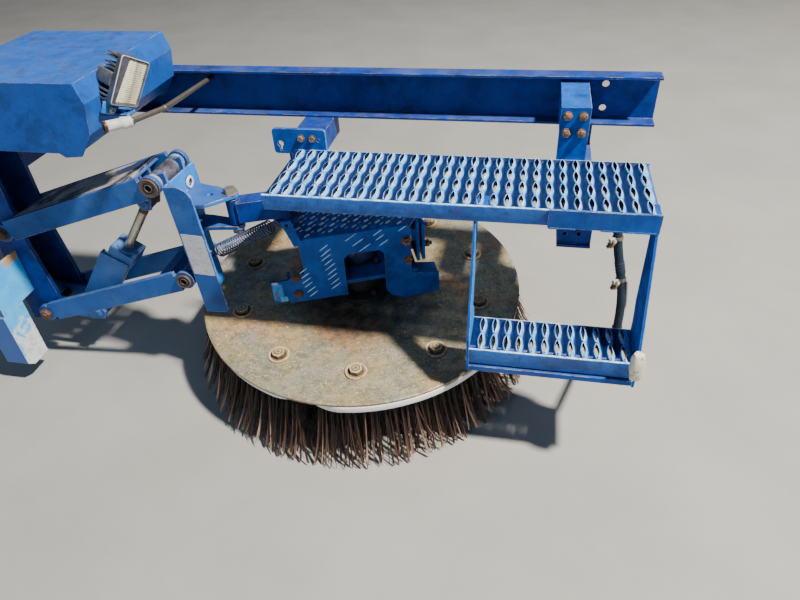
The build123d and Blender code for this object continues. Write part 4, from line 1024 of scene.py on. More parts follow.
    # long lips: bent sheet, slightly wavy from knocks
    for sgn, ya in ((1, y0), (-1, y1)):
        prof = [(4.3, -5.0, 0.60), (2.2, -5.1, 0.78), (0.7, -5.9, 0.82), (0.05, -7.6, 0.36), (0.0, -11, 0.15), (0.0, -lip * 0.5, 0.05), (0.0, -lip + 1.2, 0.3), (0.7, -lip, 0.8),
                (2.3, -lip, 0.7), (3.0, -lip + 1.2, 0.3), (3.0, -10.5, 0.1), (4.3, -8.2, 0.1)]
        n = int((x1 - x0) / 7)
        rings = []
        for k in range(n + 1):
            x = x0 + (x1 - x0) * k / n
            ring = []
            for j, (py, pz, w) in enumerate(prof):
                knock = max(0.0, noise.noise(Vector((x * 0.02, seed, pz * 0.02))) * 1.8) if 3 <= j <= 7 else 0.0
                ding = -1.5 * max(0.0, noise.noise(Vector((x * 0.07, seed + 5, 0))) - 0.2) if pz > -8 else 0.0
                wj = min(1.0, w + 0.16 * max(0.0, noise.noise(Vector((x * 0.03, seed + 9, pz * 0.05)))))
                ring.append(mb.pt((x, ya + sgn * (py + knock * 0.5), zt + pz + ding), wj))
            rings.append(ring if sgn > 0 else ring[::-1])
        mb.loft(rings)
    return mb


build("upper_tread_grip", plank(0, 856, 0, 241, 0, 43, 21, 29, 30, 4, 11), M_TREAD, "root", ["upper_tread"], 32)
build("lower_tread_grip", plank(483, 850, -95, 26, -320, 48, 507, 12, -64.7, 2, 23), M_TREAD, "root", ["lower_tread"], 32)

# ================================================================ broom disc with its nuts
BOLT_A = [-43 + 36 * k for k in range(10)]


def disc_mesh():
    mb = MB()
    NA = 360
    rings = [40, 90, 140, 190, 235, 275, 300, 316, 324, 332, 340, 350, 360, 368, 376, 384, 400, 420, 438, 450, 455.4, 457.2]
    cen = [(350 * math.cos(math.radians(a)), 350 * math.sin(math.radians(a))) for a in BOLT_A]

    def top(x, y, r):
        z = 0.5 * noise.noise(Vector((x * 0.012, y * 0.012, 3.0))) - 0.3
        w = 0.0
        if 290 < r < 410:
            for dx, dy in cen:
                d = math.hypot(x - dx, y - dy)
                if d < 60:
                    w = max(w, 0.85 * math.exp(-((d - 30) / 5.5) ** 2))
        if r > 450:
            w = max(w, 0.55)
        return min(z, 0.0) if r < 456 else -1.4, w
    cols = []
    for k in range(NA):
        a = 2 * math.pi * k / NA
        ca, sa = math.cos(a), math.sin(a)
        col = []
        for r in rings:
            x, y = r * ca, r * sa
            z, w = top(x, y, r)
            col.append(mb.pt((x, y, z), w))
        cols.append(col)
    for k in range(NA):
        a, b = cols[k], cols[(k + 1) % NA]
        for i in range(len(rings) - 1):
            mb.face((a[i], a[i + 1], b[i + 1], b[i]))
    rim = [c[-1] for c in cols]
    hub = [c[0] for c in cols]
    low = [mb.pt((457.2 * math.cos(2 * math.pi * k / NA), 457.2 * math.sin(2 * math.pi * k / NA), -7.2), 0.5) for k in range(NA)]
    low2 = [mb.pt((456.0 * math.cos(2 * math.pi * k / NA), 456.0 * math.sin(2 * math.pi * k / NA), -8.0), 0.4) for k in range(NA)]
    inn = [mb.pt((40 * math.cos(2 * math.pi * k / NA), 40 * math.sin(2 * math.pi * k / NA), -8.0), 0.0) for k in range(NA)]
    mb.bridge(rim, low, True, 0, True)
    mb.bridge(low, low2, True, 0, True)
    mb.bridge(low2, inn, True, 0, True)
    mb.bridge(inn, hub, True, 0, True)
    out = MB()
    out.add(mb, TILT)
    return out


build("disc_plate", disc_mesh(), M_DISC, "broom", ["broom_disc"], 40)


def stone_bolt(seed):
    """Broad dished washer with a low hexagon head on it, rounded and battered by stones."""
    r = random.Random(seed)
    mb = MB()
    # The washer's inner flat and the nut's lower sides get wear below zero, which stone_worn_bolt paints near black as
    # shade round the nut's foot.
    mb.add(weld(lathe([(0, -0.5), (28.0, -0.5), (28.9, 0.3), (28.9, 2.6), (28.0, 3.8), (25.8, 4.0), (21.0, 2.6), (17.0, 2.1), (0, 2.1)], 44, wears=[0, .1, .3, .6, .9, .9, .2, -.2, -.2], wob=0.7, seed=seed)))
    head = MB()
    R = 30.8 / math.sqrt(3)
    rows = []
    for h, k, w in ((1.6, 0.98, -.3), (3.4, 1.0, -.1), (8.0, 1.0, 0), (12.0, 0.99, .3), (13.6, 0.94, .8), (14.4, 0.84, .9), (14.2, 0.66, .3), (13.9, 0.52, .0)):
        row = []
        for q in range(36):
            t = 2 * math.pi * q / 36
            f = math.cos(math.pi / 6) / math.cos(((t + math.pi / 6) % (math.pi / 3)) - math.pi / 6)
            f = f ** (1.0 if h < 13 else 0.5)
            rr = R * k * f * (1 + 0.035 * noise.noise(Vector((math.cos(t) * 2, math.sin(t) * 2 + seed, h * 0.2))))
            row.append((rr * math.cos(t), rr * math.sin(t), h + 0.8 * noise.noise(Vector((math.cos(t) * 3, math.sin(t) * 3, seed))) * (h > 10)))
        rows.append(head.ring(row, w))
    head.loft(rows)
    mb.add(head, Matrix.Rotation(r.uniform(0, 1.0), 4, "Z"))
    mb.add(weld(lathe([(0, 12.5), (8.2, 12.5), (8.2, 15.0), (6.8, 15.8), (4.0, 15.4), (0, 15.1)], 22, wears=[0, 0, .5, .9, .3, .1], wob=0.5, seed=seed + 3)))
    return mb


cb = MB()
rnd = random.Random(5)
for k, a in enumerate(BOLT_A):
    p = TILT @ Vector((350 * math.cos(math.radians(a)), 350 * math.sin(math.radians(a)), 0))
    tip = Vector((rnd.uniform(-.015, .015), rnd.uniform(-.015, .015), 0))
    cb.add(stone_bolt(k), frame_of(p, AXIS + tip))
build("disc_bolt_heads", cb, M_NUT, "broom", ["disc_bolts"], 42)

# ================================================================ plastic segments
SEG_R = (459.5, 455.0, 452.0, 456.0, 451.5)
seg = MB()
for k, R in enumerate(SEG_R):
    a0 = -95.0 + 72 * k + 3.4
    span = 65.2
    n = 60
    cols = []
    for j in range(n + 1):
        aj = span * j / n
        a = math.radians(a0 + aj)
        wv = 1.1 * noise.noise(Vector((a * 3.0, k * 7.0, 1.0)))
        sag = 1.0 * noise.noise(Vector((a * 2.0, k * 5.0, 9.0)))
        e = min(aj, span - aj)
        fall = 15.0 * max(0.0, 1 - e / 8.0) ** 1.7
        rr = R + wv - fall
        prof = [(300, -37.6, .1), (rr - 14, -37.6 + sag * 0.3, .5), (rr - 11.5, -36.6, .6), (rr - 2.4, -28.5 + sag, .2), (rr - 0.5, -26.5 + sag, .55), (rr, -24, .1), (rr, -14, .1),
                (rr - 0.8, -9.8, .6), (rr - 3, -8.3, .5), (300, -8.3, .1)]
        cols.append([seg.pt(TILT @ Vector((r * math.cos(a), r * math.sin(a), h)), w) for r, h, w in prof])
    seg.loft([list(reversed(c)) for c in cols])
build("segment_blocks", seg, M_WHITE, "broom", ["broom_segments"], 35)

# ================================================================ wire bristles


def wires(name, rows, seed, replaces=()):
    """Clumps of flat spring wire, bent outwards by use; each row gives root radius, clumps round the ring, wires a
    clump, tip radius, tip height, and a factor that darkens its wires, low on the inner rows as painted shade inside
    the brush.
    """
    rnd = random.Random(seed)
    V, F, ALONG, RND = [], [], [], []
    r3 = TILT.to_3x3()
    org = TILT.translation
    for r0, tufts, count, r1, h1, dim in rows:
        for q in range(tufts):
            ang = 360.0 * (q + rnd.uniform(-0.32, 0.32)) / tufts
            seg_pos = (ang + 95.0) % 72.0
            root = ang
            if seg_pos < 3.8:
                root = ang + (3.8 - seg_pos)
            elif seg_pos > 68.2:
                root = ang - (seg_pos - 68.2)
            bend = rnd.gauss(0, 7)
            splay = rnd.gauss(0, 1.15)
            short = rnd.uniform(-3, 8)
            shade = rnd.random()
            for _ in range(count):
                a_root = math.radians(root + rnd.uniform(-0.16, 0.16))
                rr = r0 + rnd.uniform(-4, 4)
                loose = rnd.random() < 0.13
                a_tip = math.radians(ang + splay + rnd.gauss(0, 2.1 if loose else 0.17))
                rt = r1 + bend + rnd.gauss(0, 12 if loose else 2.8)
                ht = h1 + short + abs(rnd.gauss(0, 6 if loose else 3.0))
                if rnd.random() < 0.03:
                    a_tip += math.radians(rnd.choice((-1, 1)) * rnd.uniform(3, 8))
                    rt += rnd.uniform(-14, 4)
                rt = min(rt, 509.5)
                ht = max(ht, -197.0)
                p0 = Vector((rr * math.cos(a_root), rr * math.sin(a_root), -36.5))
                p3 = Vector((rt * math.cos(a_tip), rt * math.sin(a_tip), ht))
                am = (a_root + a_tip) / 2
                bow = rnd.uniform(-0.01, 0.01)
                rq = rr + (rt - rr) * 0.27
                p1 = Vector((rq * math.cos(a_root * 0.8 + a_tip * 0.2), rq * math.sin(a_root * 0.8 + a_tip * 0.2), -36.5 + (ht + 36.5) * 0.33))
                rm = rr + (rt - rr) * (0.60 + bow)
                p2 = Vector((rm * math.cos(am), rm * math.sin(am), -36.5 + (ht + 36.5) * 0.67))
                pts = [p0, p1, p2, p3]
                wdt = rnd.uniform(0.95, 1.55)
                thk = 0.50
                yaw = rnd.uniform(-0.8, 0.8) + math.atan2(p0.y, p0.x) + math.pi / 2
                wx, wy = math.cos(yaw), math.sin(yaw)
                # dim darkens whole rows: painted shade inside the brush
                rv = min(1.0, max(0.0, (0.78 * shade ** 1.25 + 0.24 * rnd.random() + rnd.gauss(0, 0.05)) * dim))
                base = len(V)
                for i, p in enumerate(pts):
                    s = 1.0 if i < 3 else 0.8
                    dx, dy = wx * wdt * s, wy * wdt * s
                    tx, ty = -wy * thk, wx * thk
                    for ax_, ay_ in ((dx, dy), (tx, ty), (-dx, -dy), (-tx, -ty)):
                        g = r3 @ Vector((p.x + ax_, p.y + ay_, p.z)) + org
                        V.append(((g.x - OX) / 1000.0, (g.y - OY) / 1000.0, (g.z - OZ) / 1000.0))
                        ALONG.append(i / 3.0)
                        RND.append(rv)
                for i in range(3):
                    for j in range(4):
                        a, b = base + i * 4 + j, base + i * 4 + (j + 1) % 4
                        F.append((a, b, b + 4, a + 4))
                F.append((base + 3, base + 2, base + 1, base))
                F.append((base + 12, base + 13, base + 14, base + 15))
    mb = MB()
    mb.v, mb.f, mb.w, mb.m = V, F, [0.0] * len(V), [0] * len(F)
    return build(name, mb, M_BRIST, "broom", replaces, 30, {"along": ALONG, "rnd": RND}, local=True)


# the last number of each row darkens it: the inner rows are painted darker as shade inside the brush
wires("wires_outer", [(441, 150, 6, 502, -193, 1.0), (427, 136, 7, 491, -194, 0.9)], 101, ["bristles"])
wires("wires_middle", [(405, 120, 9, 470, -194, 0.55), (384, 110, 9, 449, -192, 0.35)], 202)
wires("wires_inner", [(360, 104, 9, 418, -190, 0.25), (338, 94, 9, 384, -186, 0.2)], 303)

# ================================================================ return spring
SPR_A, SPR_B = Vector((-203.3, 98.0, -237.4)), Vector((-30.0, 87.2, -142.2))
HOOK_A, HOOK_B = Vector((-219, 98, -247)), Vector((4.8, 86.9, -136))


def spring():
    ax_dir = (SPR_B - SPR_A)
    length = ax_dir.length
    z = ax_dir.normalized()
    x = (Vector((0, 0, 1)) - z * z.z).normalized()
    y = z.cross(x)
    turns, R, wr = 24, 17.6, 1.95
    pts = []
    # hook on the coupler's lug
    for k in range(7):
        t = k / 6
        a = math.radians(200 - 200 * t)
        pts.append(SPR_A - z * (21 - 12 * t) + x * (-7.5 * math.cos(a)))
    steps = turns * 14
    for k in range(steps + 1):
        t = k / steps
        a = 2 * math.pi * turns * t
        rr = R * min(1.0, 0.35 + 0.65 * min(t * turns / 0.8, (1 - t) * turns / 0.8, 1.0))
        pts.append(SPR_A + z * (length * t) + x * (rr * math.cos(a)) + y * (rr * math.sin(a)))
    for k in range(7):
        t = k / 6
        a = math.radians(200 * t)
        pts.append(SPR_B + z * (8 + 14 * t) + x * (7.5 * math.cos(a)))
    return tube(pts, wr, 7, True, 0.3)


def spring_mat():
    M = Mat("spring_wire")
    n1, n2 = M.noise(40, 4, 0.6), M.noise(220, 4, 0.65)
    col = M.mix(M.rng(n1, 0.36, 0.64), (0.075, 0.120, 0.26), (0.022, 0.036, 0.095))
    col = M.mix(M.math("MULTIPLY", M.rng(n2, 0.48, 0.66), 0.6), col, (0.26, 0.25, 0.25))
    col = M.mix(M.math("MULTIPLY", M.rng(n1, 0.56, 0.66), 0.5), col, (0.12, 0.055, 0.025))
    return M.done(col, 0.42, 0.55, M.bump(n2, 0.2, 0.0004))


build("spring_coil", spring(), spring_mat(), ("coupler", "swing_arm", S(*SPR_A), S(*SPR_B)), ["return_spring"], 60)

# ================================================================ chequer plate bars on the motor mount
ARM = Matrix.Translation(Vector((131, 268, 0))) @ Matrix.Rotation(math.radians(21.9), 4, "Z")
M_V = 120.0


def bar_shape(length, width, height):
    mb = MB()
    n = 12
    lo, mi, hi = [], [], []
    for k in range(n):
        a = 2 * math.pi * k / n
        c, s = math.cos(a), math.sin(a)
        e = abs(s) ** 0.8 * (1 if s >= 0 else -1)
        lo.append(mb.pt((length / 2 * c, width / 2 * e, -0.3), 0.0))
        mi.append(mb.pt((length / 2 * 0.94 * c, width / 2 * 0.80 * e, height * 0.72), 0.8))
        hi.append(mb.pt((length / 2 * 0.84 * c, width / 2 * 0.50 * e, height), 1.0))
    mb.loft([lo, mi, hi])
    return mb


def inside(poly, x, y, m=0.0):
    """True if the point is in the convex anticlockwise outline by at least m."""
    for (x0, y0), (x1, y1) in zip(poly, poly[1:] + poly[:1]):
        ex, ey = x1 - x0, y1 - y0
        if (ex * (y - y0) - ey * (x - x0)) / math.hypot(ex, ey) < m:
            return False
    return True


rnd = random.Random(77)
cover_poly = [(-162, -M_V), (130, -M_V), (150, -90), (150, M_V), (-235, M_V), (-248, 78)]
bars = MB()
for j in range(14):
    for i in range(-12, 13):
        p = ARM.inverted() @ Vector((131 + 29.4 * i + 11 - 4.0 * (j - 5) + rnd.uniform(-1.2, 1.2), 268 - 91 + 29.5 * (j - 2) + rnd.uniform(-1, 1), 0))
        for dx, dy, dim in ((0, 0, 1.0), (15, 14.5, 0.72)):
            u, v = p.x + dx, p.y + dy
            if inside(cover_poly, u, v, 11):
                m = ARM @ Matrix.Translation(Vector((u, v, -184))) @ Matrix.Rotation(math.radians(43 if dx == 0 else 44), 4, "Z")
                bars.add(bar_shape(rnd.uniform(19, 23) * dim, (9.6 if dx == 0 else 6.0) * dim, 1.9 * dim), m)
build("cover_chequer_bars", bars, M_BAR_CROWN_RUB_AND_SHEEN, "swing_arm", (), 35)

bars = MB()
FR = Matrix((Vector((1, 0, 0)), Vector((0, 0, 1)), Vector((0, -1, 0)))).transposed().to_4x4()
# groups of parallel bars: first centre, step, count, length
for u0, z0, du, dz, count, ln in ((-99, -218, 2.6, -15.6, 9, 34), (-160, -281, 3.4, -15.4, 6, 31), (-24, -199, 15, -18, 3, 38), (45, -195, 6, -17, 3, 33), (112, -193, 3, -16, 1, 31)):
    for k in range(count):
        uu, zz = u0 + du * k + rnd.uniform(-2, 2), z0 + dz * k + rnd.uniform(-1, 1)
        m = ARM @ Matrix.Translation(Vector((uu, -M_V, zz))) @ FR @ Matrix.Rotation(math.radians(33 + rnd.uniform(-2, 2)), 4, "Z")
        bars.add(bar_shape(ln * rnd.uniform(0.90, 1.12), 4.0, 1.4), m)
build("front_chequer_bars", bars, M_BAR_FRONT, "swing_arm", (), 35)

# ================================================================ bolts and nuts
nuts = MB()
A = ARM.to_3x3()


def on_arm(u, v, z):
    return ARM @ Vector((u, v, z))


for vv, z in ((-58, -226), (-58, -290)):
    nuts.add(bolt(on_arm(150, vv, z), A @ Vector((-1, 0, 0)), 19, 11, 8, 6, 13, rot=12))
    nuts.add(bolt(on_arm(184, vv, z), A @ Vector((1, 0, 0)), 19, 9, 7, 6, 0, rot=20))
nuts.add(bolt(on_arm(118, -M_V, -232), A @ Vector((0, -1, 0)), 19, 9, 5, 6, 14, rot=5))
nuts.add(bolt(on_arm(120, -M_V, -292), A @ Vector((0, -1, 0)), 17, 10, 7, 6, 12, rot=35))
build("mount_bolts", nuts, M_BOLT, "swing_arm")
tabs = MB()
for u, z, ac, hd in ((-181, -300, 18, 5), (-181, -351, 21, 6)):
    tabs.add(bolt(on_arm(u, -M_V, z), A @ Vector((0, -1, 0)), ac, hd, 0, 5, 13, dome=True))
build("tab_bolts", tabs, M_RUST_DK, "swing_arm")
mbolts = MB()
for a in (45, 135, 225, 315):
    p = TILT @ (Matrix.Rotation(math.radians(21.9), 4, "Z") @ Vector((64 * math.cos(math.radians(a)), 64 * math.sin(math.radians(a)), 104)))
    mbolts.add(bolt(p, AXIS, 19, 9, 4, 6, 12))
build("motor_bolts", mbolts, M_MOTOR, "swing_arm")

hubn = MB()
for k in range(6):
    a = math.radians(60 * k + 10)
    hubn.add(bolt(TILT @ Vector((78 * math.cos(a), 78 * math.sin(a), 12)), AXIS, 19, 9, 4, 6, 12, rot=k * 17))
build("hub_bolts", hubn, M_MOTOR, "broom")

# nut on the coupler's web
wn = MB()
web_n = Vector((math.cos(math.radians(3.27)), 0, -math.sin(math.radians(3.27))))
wn.add(weld(lathe([(0, 0.6), (8.6, 0.6), (9.2, 4.6), (10.6, 6.2), (14.6, 6.4), (16.4, 5.0), (17.2, 2.0), (17.4, -0.5), (0, -0.5)], 30, wears=[0, 0, .3, .9, 1, .8, .3, .1, 0])), frame_of((-279.0, 172, -76), web_n))
build("web_ring", wn, M_RING, "coupler")

# worn grey sleeve on the coupler's upper tube
sl = MB()
sl.add(lathe([(21.05, 82), (21.9, 82.6), (22.1, 86), (21.8, 96), (21.9, 140), (21.7, 190), (22.1, 204), (21.9, 208), (21.05, 208.6), (21.05, 82)], 36, wears=[.4, 1, .9, .3, .2, .3, .8, .9, .4, .4], wob=0.25, seed=3), Matrix.Translation(Vector((-320, 0, -38))) @ Matrix(((1, 0, 0, 0), (0, 0, 1, 0), (0, -1, 0, 0), (0, 0, 0, 1))))
build("coupler_sleeve", sl, M_SLEEVE, "coupler", (), 40)

# pins of the linkage: thick rusty bushes with hollow ends, greased and dirty


def pin_end(x, z, y, sgn, r=19, depth=8.0):
    mb = weld(lathe([(0, -1.5), (6.8, -1.5), (7.2, 4.6), (8.4, depth - 0.6), (10.2, depth), (11.4, depth - 1.0), (12.0, depth - 3.6), (13.4, depth - 3.6), (14.0, depth - 1.2), (r - 2.2, depth),
                     (r - 0.5, depth - 1.2), (r, depth - 3.0), (r, -3.0), (0, -3.0)], 32, wears=[0, 0, 0, .7, 1, .6, 0, 0, .6, .9, 1, .4, .2, 0]))
    out = MB()
    out.add(mb, frame_of((x, y, z), (0, sgn, 0)))
    return out


pins = MB()
for px, pz in ((-320.0, -38.0), (-304.0, -318.0)):
    pins.add(pin_end(px, pz, 63.2, -1, 26.0 if pz > -100 else 22))
    pins.add(pin_end(px, pz, 226.8, 1, 20))
    pins.add(tube([(px, 64, pz), (px, 226, pz)], 11.9, 24))
build("linkage_pins", pins, M_PIN, "coupler", ["coupler_pins"], 40)

DXA, DZA = -525 * math.cos(math.radians(18.6)), -525 * math.sin(math.radians(18.6))
hp = MB()
for px, pz in ((-320 + DXA, -38 + DZA), (-304 + DXA, -318 + DZA)):
    hp.add(tube([(px, 62, pz), (px, 228, pz)], 11.9, 24))
    hp.add(bolt((px, 62.4, pz), (0, -1, 0), 30, 10, 3, 9, 19, rot=14))
    hp.add(bolt((px, 227.6, pz), (0, 1, 0), 30, 11, 4, 9, 19, rot=30))
build("hanger_pin_bolts", hp, M_RUST_DK, "root", ["hanger_pins"], 40)

sp = MB()
SWX, SWY = 131 - 311 * math.cos(math.radians(21.9)), 268 - 311 * math.sin(math.radians(21.9))
sp.add(tube([(SWX, SWY, -207), (SWX, SWY, -88)], 9.95, 24))
sp.add(bolt((SWX, SWY, -91), (0, 0, 1), 30, 12, 0, 9, 20, rot=22))
sp.add(bolt((SWX, SWY, -190), (0, 0, -1), 30, 13, 4, 9, 19, rot=3))
build("swing_pin_bolt", sp, M_ZINC, "coupler", ["swing_pin"], 40)

# bolts of the fixed parts: the step bracket plates
fb = MB()
for x, z in ((20, 24), (50, 24)):
    fb.add(bolt((x, 241.0, z), (0, -1, 0), 15, 6, 0, 5, 10, rot=9))
for x, z in ((662, 60), (696, 60), (662, 100), (696, 100)):
    fb.add(bolt((x, 241.0, z), (0, -1, 0), 17, 7, 4, 5, 11, rot=x))
build("fixed_bolts", fb, M_BOLT, "root")

# blank pale sticker on the coupler's flange
LEAN = math.radians(3.27)


def on_flange(dx, dz, y):
    """Point on the leaning flange: dx from the web's line, dz below the upper pivot."""
    c, s = math.cos(LEAN), math.sin(LEAN)
    return (-320 + dx * c - dz * s, y, -38 + dx * s * -1 + dz * c)


st = MB()
pl = [(37, -252), (97, -252), (97, -128), (37, -128)]
ring = []
for h in (64.2, 63.55):
    ring.append(st.ring([on_flange(a, b, h) for a, b in [(37.5, -252), (96, -252), (97.5, -250), (97.5, -130), (96, -128), (38.5, -128), (37, -130), (37, -250)]], 0.3))
st.loft([r[::-1] for r in ring])
build("blank_sticker", st, M_STICK, "coupler", (), 30)

# ================================================================ work light
LC, LN, LX = Vector((-296, 92, 210)), Vector((0.89, -0.40, -0.21)).normalized(), Vector((0.279, 0.858, -0.432))
LAMP = frame_of(LC, LN, LX)
FRONT_Q = [(35, 48), (-41, 54), (-44, -58), (27.5, -55.5)]
BACK_Q = [(33, 46), (-30, 50), (-39, -63), (26, -57)]
LENS_Q = [(32.0, 44.5), (-20, 49), (-33.5, -54), (25.0, -52.8)]


def quad_mid(a, b, t):
    return [(p[0] + (q[0] - p[0]) * t, p[1] + (q[1] - p[1]) * t) for p, q in zip(a, b)]


def shrink(q, d):
    cx, cy = sum(p[0] for p in q) / 4, sum(p[1] for p in q) / 4
    return [(p[0] - math.copysign(d, p[0] - cx), p[1] - math.copysign(d, p[1] - cy)) for p in q]


lamp = MB()
outer = []
for q, z, w, r in ((shrink(BACK_Q, 5), -28, .2, 6), (BACK_Q, -25.5, .6, 7), (quad_mid(BACK_Q, FRONT_Q, 0.2), -21, .1, 7), (quad_mid(BACK_Q, FRONT_Q, 0.85), -4.5, .1, 7), (shrink(FRONT_Q, 0.6), -3.6, .3, 7),
                   (FRONT_Q, -2.8, .9, 7), (FRONT_Q, -0.9, 1.25, 7), (shrink(FRONT_Q, 0.9), 0, 1.25, 6.5), (shrink(FRONT_Q, 1.7), -0.2, .35, 6), (shrink(FRONT_Q, 2.4), -0.6, .1, 6), (shrink(LENS_Q, -1.2), -1.6, .1, 5), (shrink(LENS_Q, -0.6), -8.8, 0, 5)):
    outer.append(lamp.ring([(x, y, z) for x, y in rpoly(q, r)], w))
for a, b in zip(outer, outer[1:]):
    lamp.bridge(a, b)
lamp.face(outer[0][::-1])
lamp.face(outer[-1])
for fy, x0, x1, zb in ((44.5, -31, 33, -60), (37.2, -31, 33, -60), (23, -33, 32, -60), (15.6, -33, 32, -56), (-36, -38, 28, -70), (-46, -39, 27, -70), (-55, -38, 26, -66)):
    lamp.add(slab([(x0, fy - 1.7), (x1, fy - 1.7), (x1, fy + 1.7), (x0, fy + 1.7)], zb, -26, 0.7, 0.42))
lamp.add(slab([(p[0] + -4, p[1] - 9) for p in rrect(68, 32, 3, 2)], -72, -26, 1.2, 0.35))
for sx, sy in ((-30, 46), (30, 42), (-36, -54), (24, -52)):
    lamp.add(bolt((sx, sy, -27), (0, 0, -1), 7, 3, 0, 2))
lo = MB()
lo.add(lamp, LAMP)
build("lamp_body", lo, M_LAMP, "root", ["work_light_housing"], 35)

lens = MB()
nx, ny = 48, 84
grid = []
for j in range(ny + 1):
    rowv = []
    for i in range(nx + 1):
        a, b = i / nx, j / ny
        x = (LENS_Q[2][0] * (1 - a) + LENS_Q[3][0] * a) * (1 - b) + (LENS_Q[1][0] * (1 - a) + LENS_Q[0][0] * a) * b
        y = (LENS_Q[2][1] * (1 - a) + LENS_Q[3][1] * a) * (1 - b) + (LENS_Q[1][1] * (1 - a) + LENS_Q[0][1] * a) * b
        edge_d = min(a, 1 - a) * 52
        edge_d = min(edge_d, min(b, 1 - b) * 98)
        z = -3.2 + 0.36 * math.cos(y * 2 * math.pi / 4.9) + 0.30 * math.cos(x * 2 * math.pi / 13.0) + 1.0 * (1 - (2 * a - 1) ** 2) * (1 - (2 * b - 1) ** 2)
        z -= 2.2 * math.exp(-edge_d / 1.6)
        rowv.append(lens.pt((x, y, z), a))
    grid.append(rowv)
for j in range(ny):
    for i in range(nx):
        lens.face((grid[j][i], grid[j][i + 1], grid[j + 1][i + 1], grid[j + 1][i]))
border = grid[0] + [grid[j][-1] for j in range(1, ny + 1)] + grid[-1][-2::-1] + [grid[j][0] for j in range(ny - 1, 0, -1)]
back = [lens.pt((lens.v[i][0], lens.v[i][1], -8.6), 0.0) for i in border]
lens.bridge(border, back, True, 0, True)
lens.face(back)
le = MB()
le.add(lens, LAMP)
build("lamp_lens", le, M_LENS, "root", ["work_light_lens"], 60)

# pale foot plate of the lamp, a bent strap with its bolt
strap = MB()
strap.add(slab(rpoly([(4, -86), (4, -60), (-44, -60), (-44, -86)], 4, 3), -28, -24, 0.8, 0.9), LAMP)
strap.add(slab([(-30, -64), (-8, -64), (-8, -60), (-30, -60)], -40, -24, 0.8, 0.9), LAMP)
strap.add(bolt(LAMP @ Vector((-20, -75, -24)), LN, 13, 5, 3, 4, 9))
build("lamp_foot", strap, M_FOOT, "root")

# ================================================================ water nozzle
NZ0, NZ1 = Vector((-333.5, -7.0, 144.9)), Vector((-293.0, 39.5, 141.0))
nzd = (NZ1 - NZ0).normalized()
noz = weld(lathe([(0, 13), (7.4, 13), (8.2, 2), (9.2, 0.4), (11.6, 0.2), (12.7, 1.6), (12.8, 6), (11.9, 7.6), (11.8, 37), (12.5, 38), (13.6, 39.4), (13.6, 47), (12.5, 48.6),
                  (12.1, 53.6), (12.7, 54.6), (12.7, 59), (11, 61.4), (0, 61.4)], 30, wears=[1, 1, 1, 1, 1, 1, .95, .62, .05, .1, .3, .3, .1, .1, .4, .4, .3, 0]))
nz = MB()
nz.add(noz, frame_of(NZ0, nzd))


def nozzle_mat():
    M = Mat("nozzle_white")
    n1, n2 = M.noise(44, 5, 0.65), M.noise(170, 4, 0.6)
    w = M.attr("wear")
    c = M.mix(M.rng(n1, 0.36, 0.66), (0.66, 0.68, 0.66), (0.44, 0.42, 0.36))
    c = M.mix(M.rng(M.math("ADD", w, M.math("MULTIPLY", M.math("SUBTRACT", n1, 0.5), 0.9)), 0.62, 0.86), c, M.mix(M.rng(n2, 0.4, 0.6), (0.10, 0.028, 0.016), (0.035, 0.014, 0.010)))
    return M.done(c, 0.5, None, M.bump(n2, 0.25, 0.0008))


build("nozzle_tube", nz, nozzle_mat(), "root", ["water_nozzle"], 40)

# ================================================================ lumpy foam bumper
fo = MB()
FC = Vector((848.0, -111, -318))
nu, nv = 44, 30
rings = []
for j in range(1, nv):
    ph = math.pi * j / nv
    ring = []
    for i in range(nu):
        th = 2 * math.pi * i / nu
        d = Vector((math.sin(ph) * math.cos(th), math.sin(ph) * math.sin(th), math.cos(ph)))
        e = Vector((math.copysign(abs(d.x) ** 0.75, d.x) * 14.5, math.copysign(abs(d.y) ** 0.72, d.y) * 12.0, math.copysign(abs(d.z) ** 0.8, d.z) * 42))
        lump = 1 + 0.13 * noise.noise(d * 1.7 + Vector((3, 1, 5))) + 0.06 * noise.noise(d * 5)
        e = e * lump
        e.x += 2.2 * d.z * -1 if d.x < 0 else 1.0
        ring.append(fo.pt(FC + e, min(1.0, 0.4 * abs(noise.noise(d * 4)) + max(0.0, (-d.x - d.z) * 0.55 - 0.25))))
    rings.append(ring[::-1])
fo.loft(rings)
build("bumper_foam", fo, M_FOAM, "root", ["corner_bumper"], 80)

# ================================================================ hose clamps and joints
hc = MB()


def band(p, q, r, width, n=28, ear=(-1, 0, 0)):
    """Worm clamp: ribbed band round the hose with its screw box to one side."""
    p, q = Vector(p), Vector(q)
    z = (q - p).normalized()
    m = MB()
    m.add(weld(lathe([(r, -width / 2), (r + 1.5, -width / 2), (r + 1.9, -width / 2 + 1), (r + 1.4, 0), (r + 1.9, width / 2 - 1), (r + 1.5, width / 2), (r, width / 2), (r, -width / 2)], n)))
    e = Vector(ear)
    fr = frame_of(p, z, e)
    out = MB()
    out.add(m, fr)
    box = slab(rrect(15, 11, 2, 3), -5, 5, 0.9, 0.9)
    out.add(box, fr @ Matrix.Translation(Vector((r + 7, 0, 0))) @ Matrix.Rotation(math.radians(90), 4, "X"))
    head = hexagon(9, 0, 6)
    out.add(head, fr @ Matrix.Translation(Vector((r + 7, -7, 0))) @ Matrix.Rotation(math.radians(90), 4, "X"))
    return out


H = [Vector(p) for p in ((806, 212, -60), (806, 212, -112), (809, 210, -166), (818, 206, -224), (833, 200, -284), (845, 192, -342), (849.5, 187, -398))]


def hose_at(z):
    for a, b in zip(H, H[1:]):
        if b.z <= z <= a.z:
            t = (a.z - z) / (a.z - b.z)
            return a + (b - a) * t
    return H[-1]


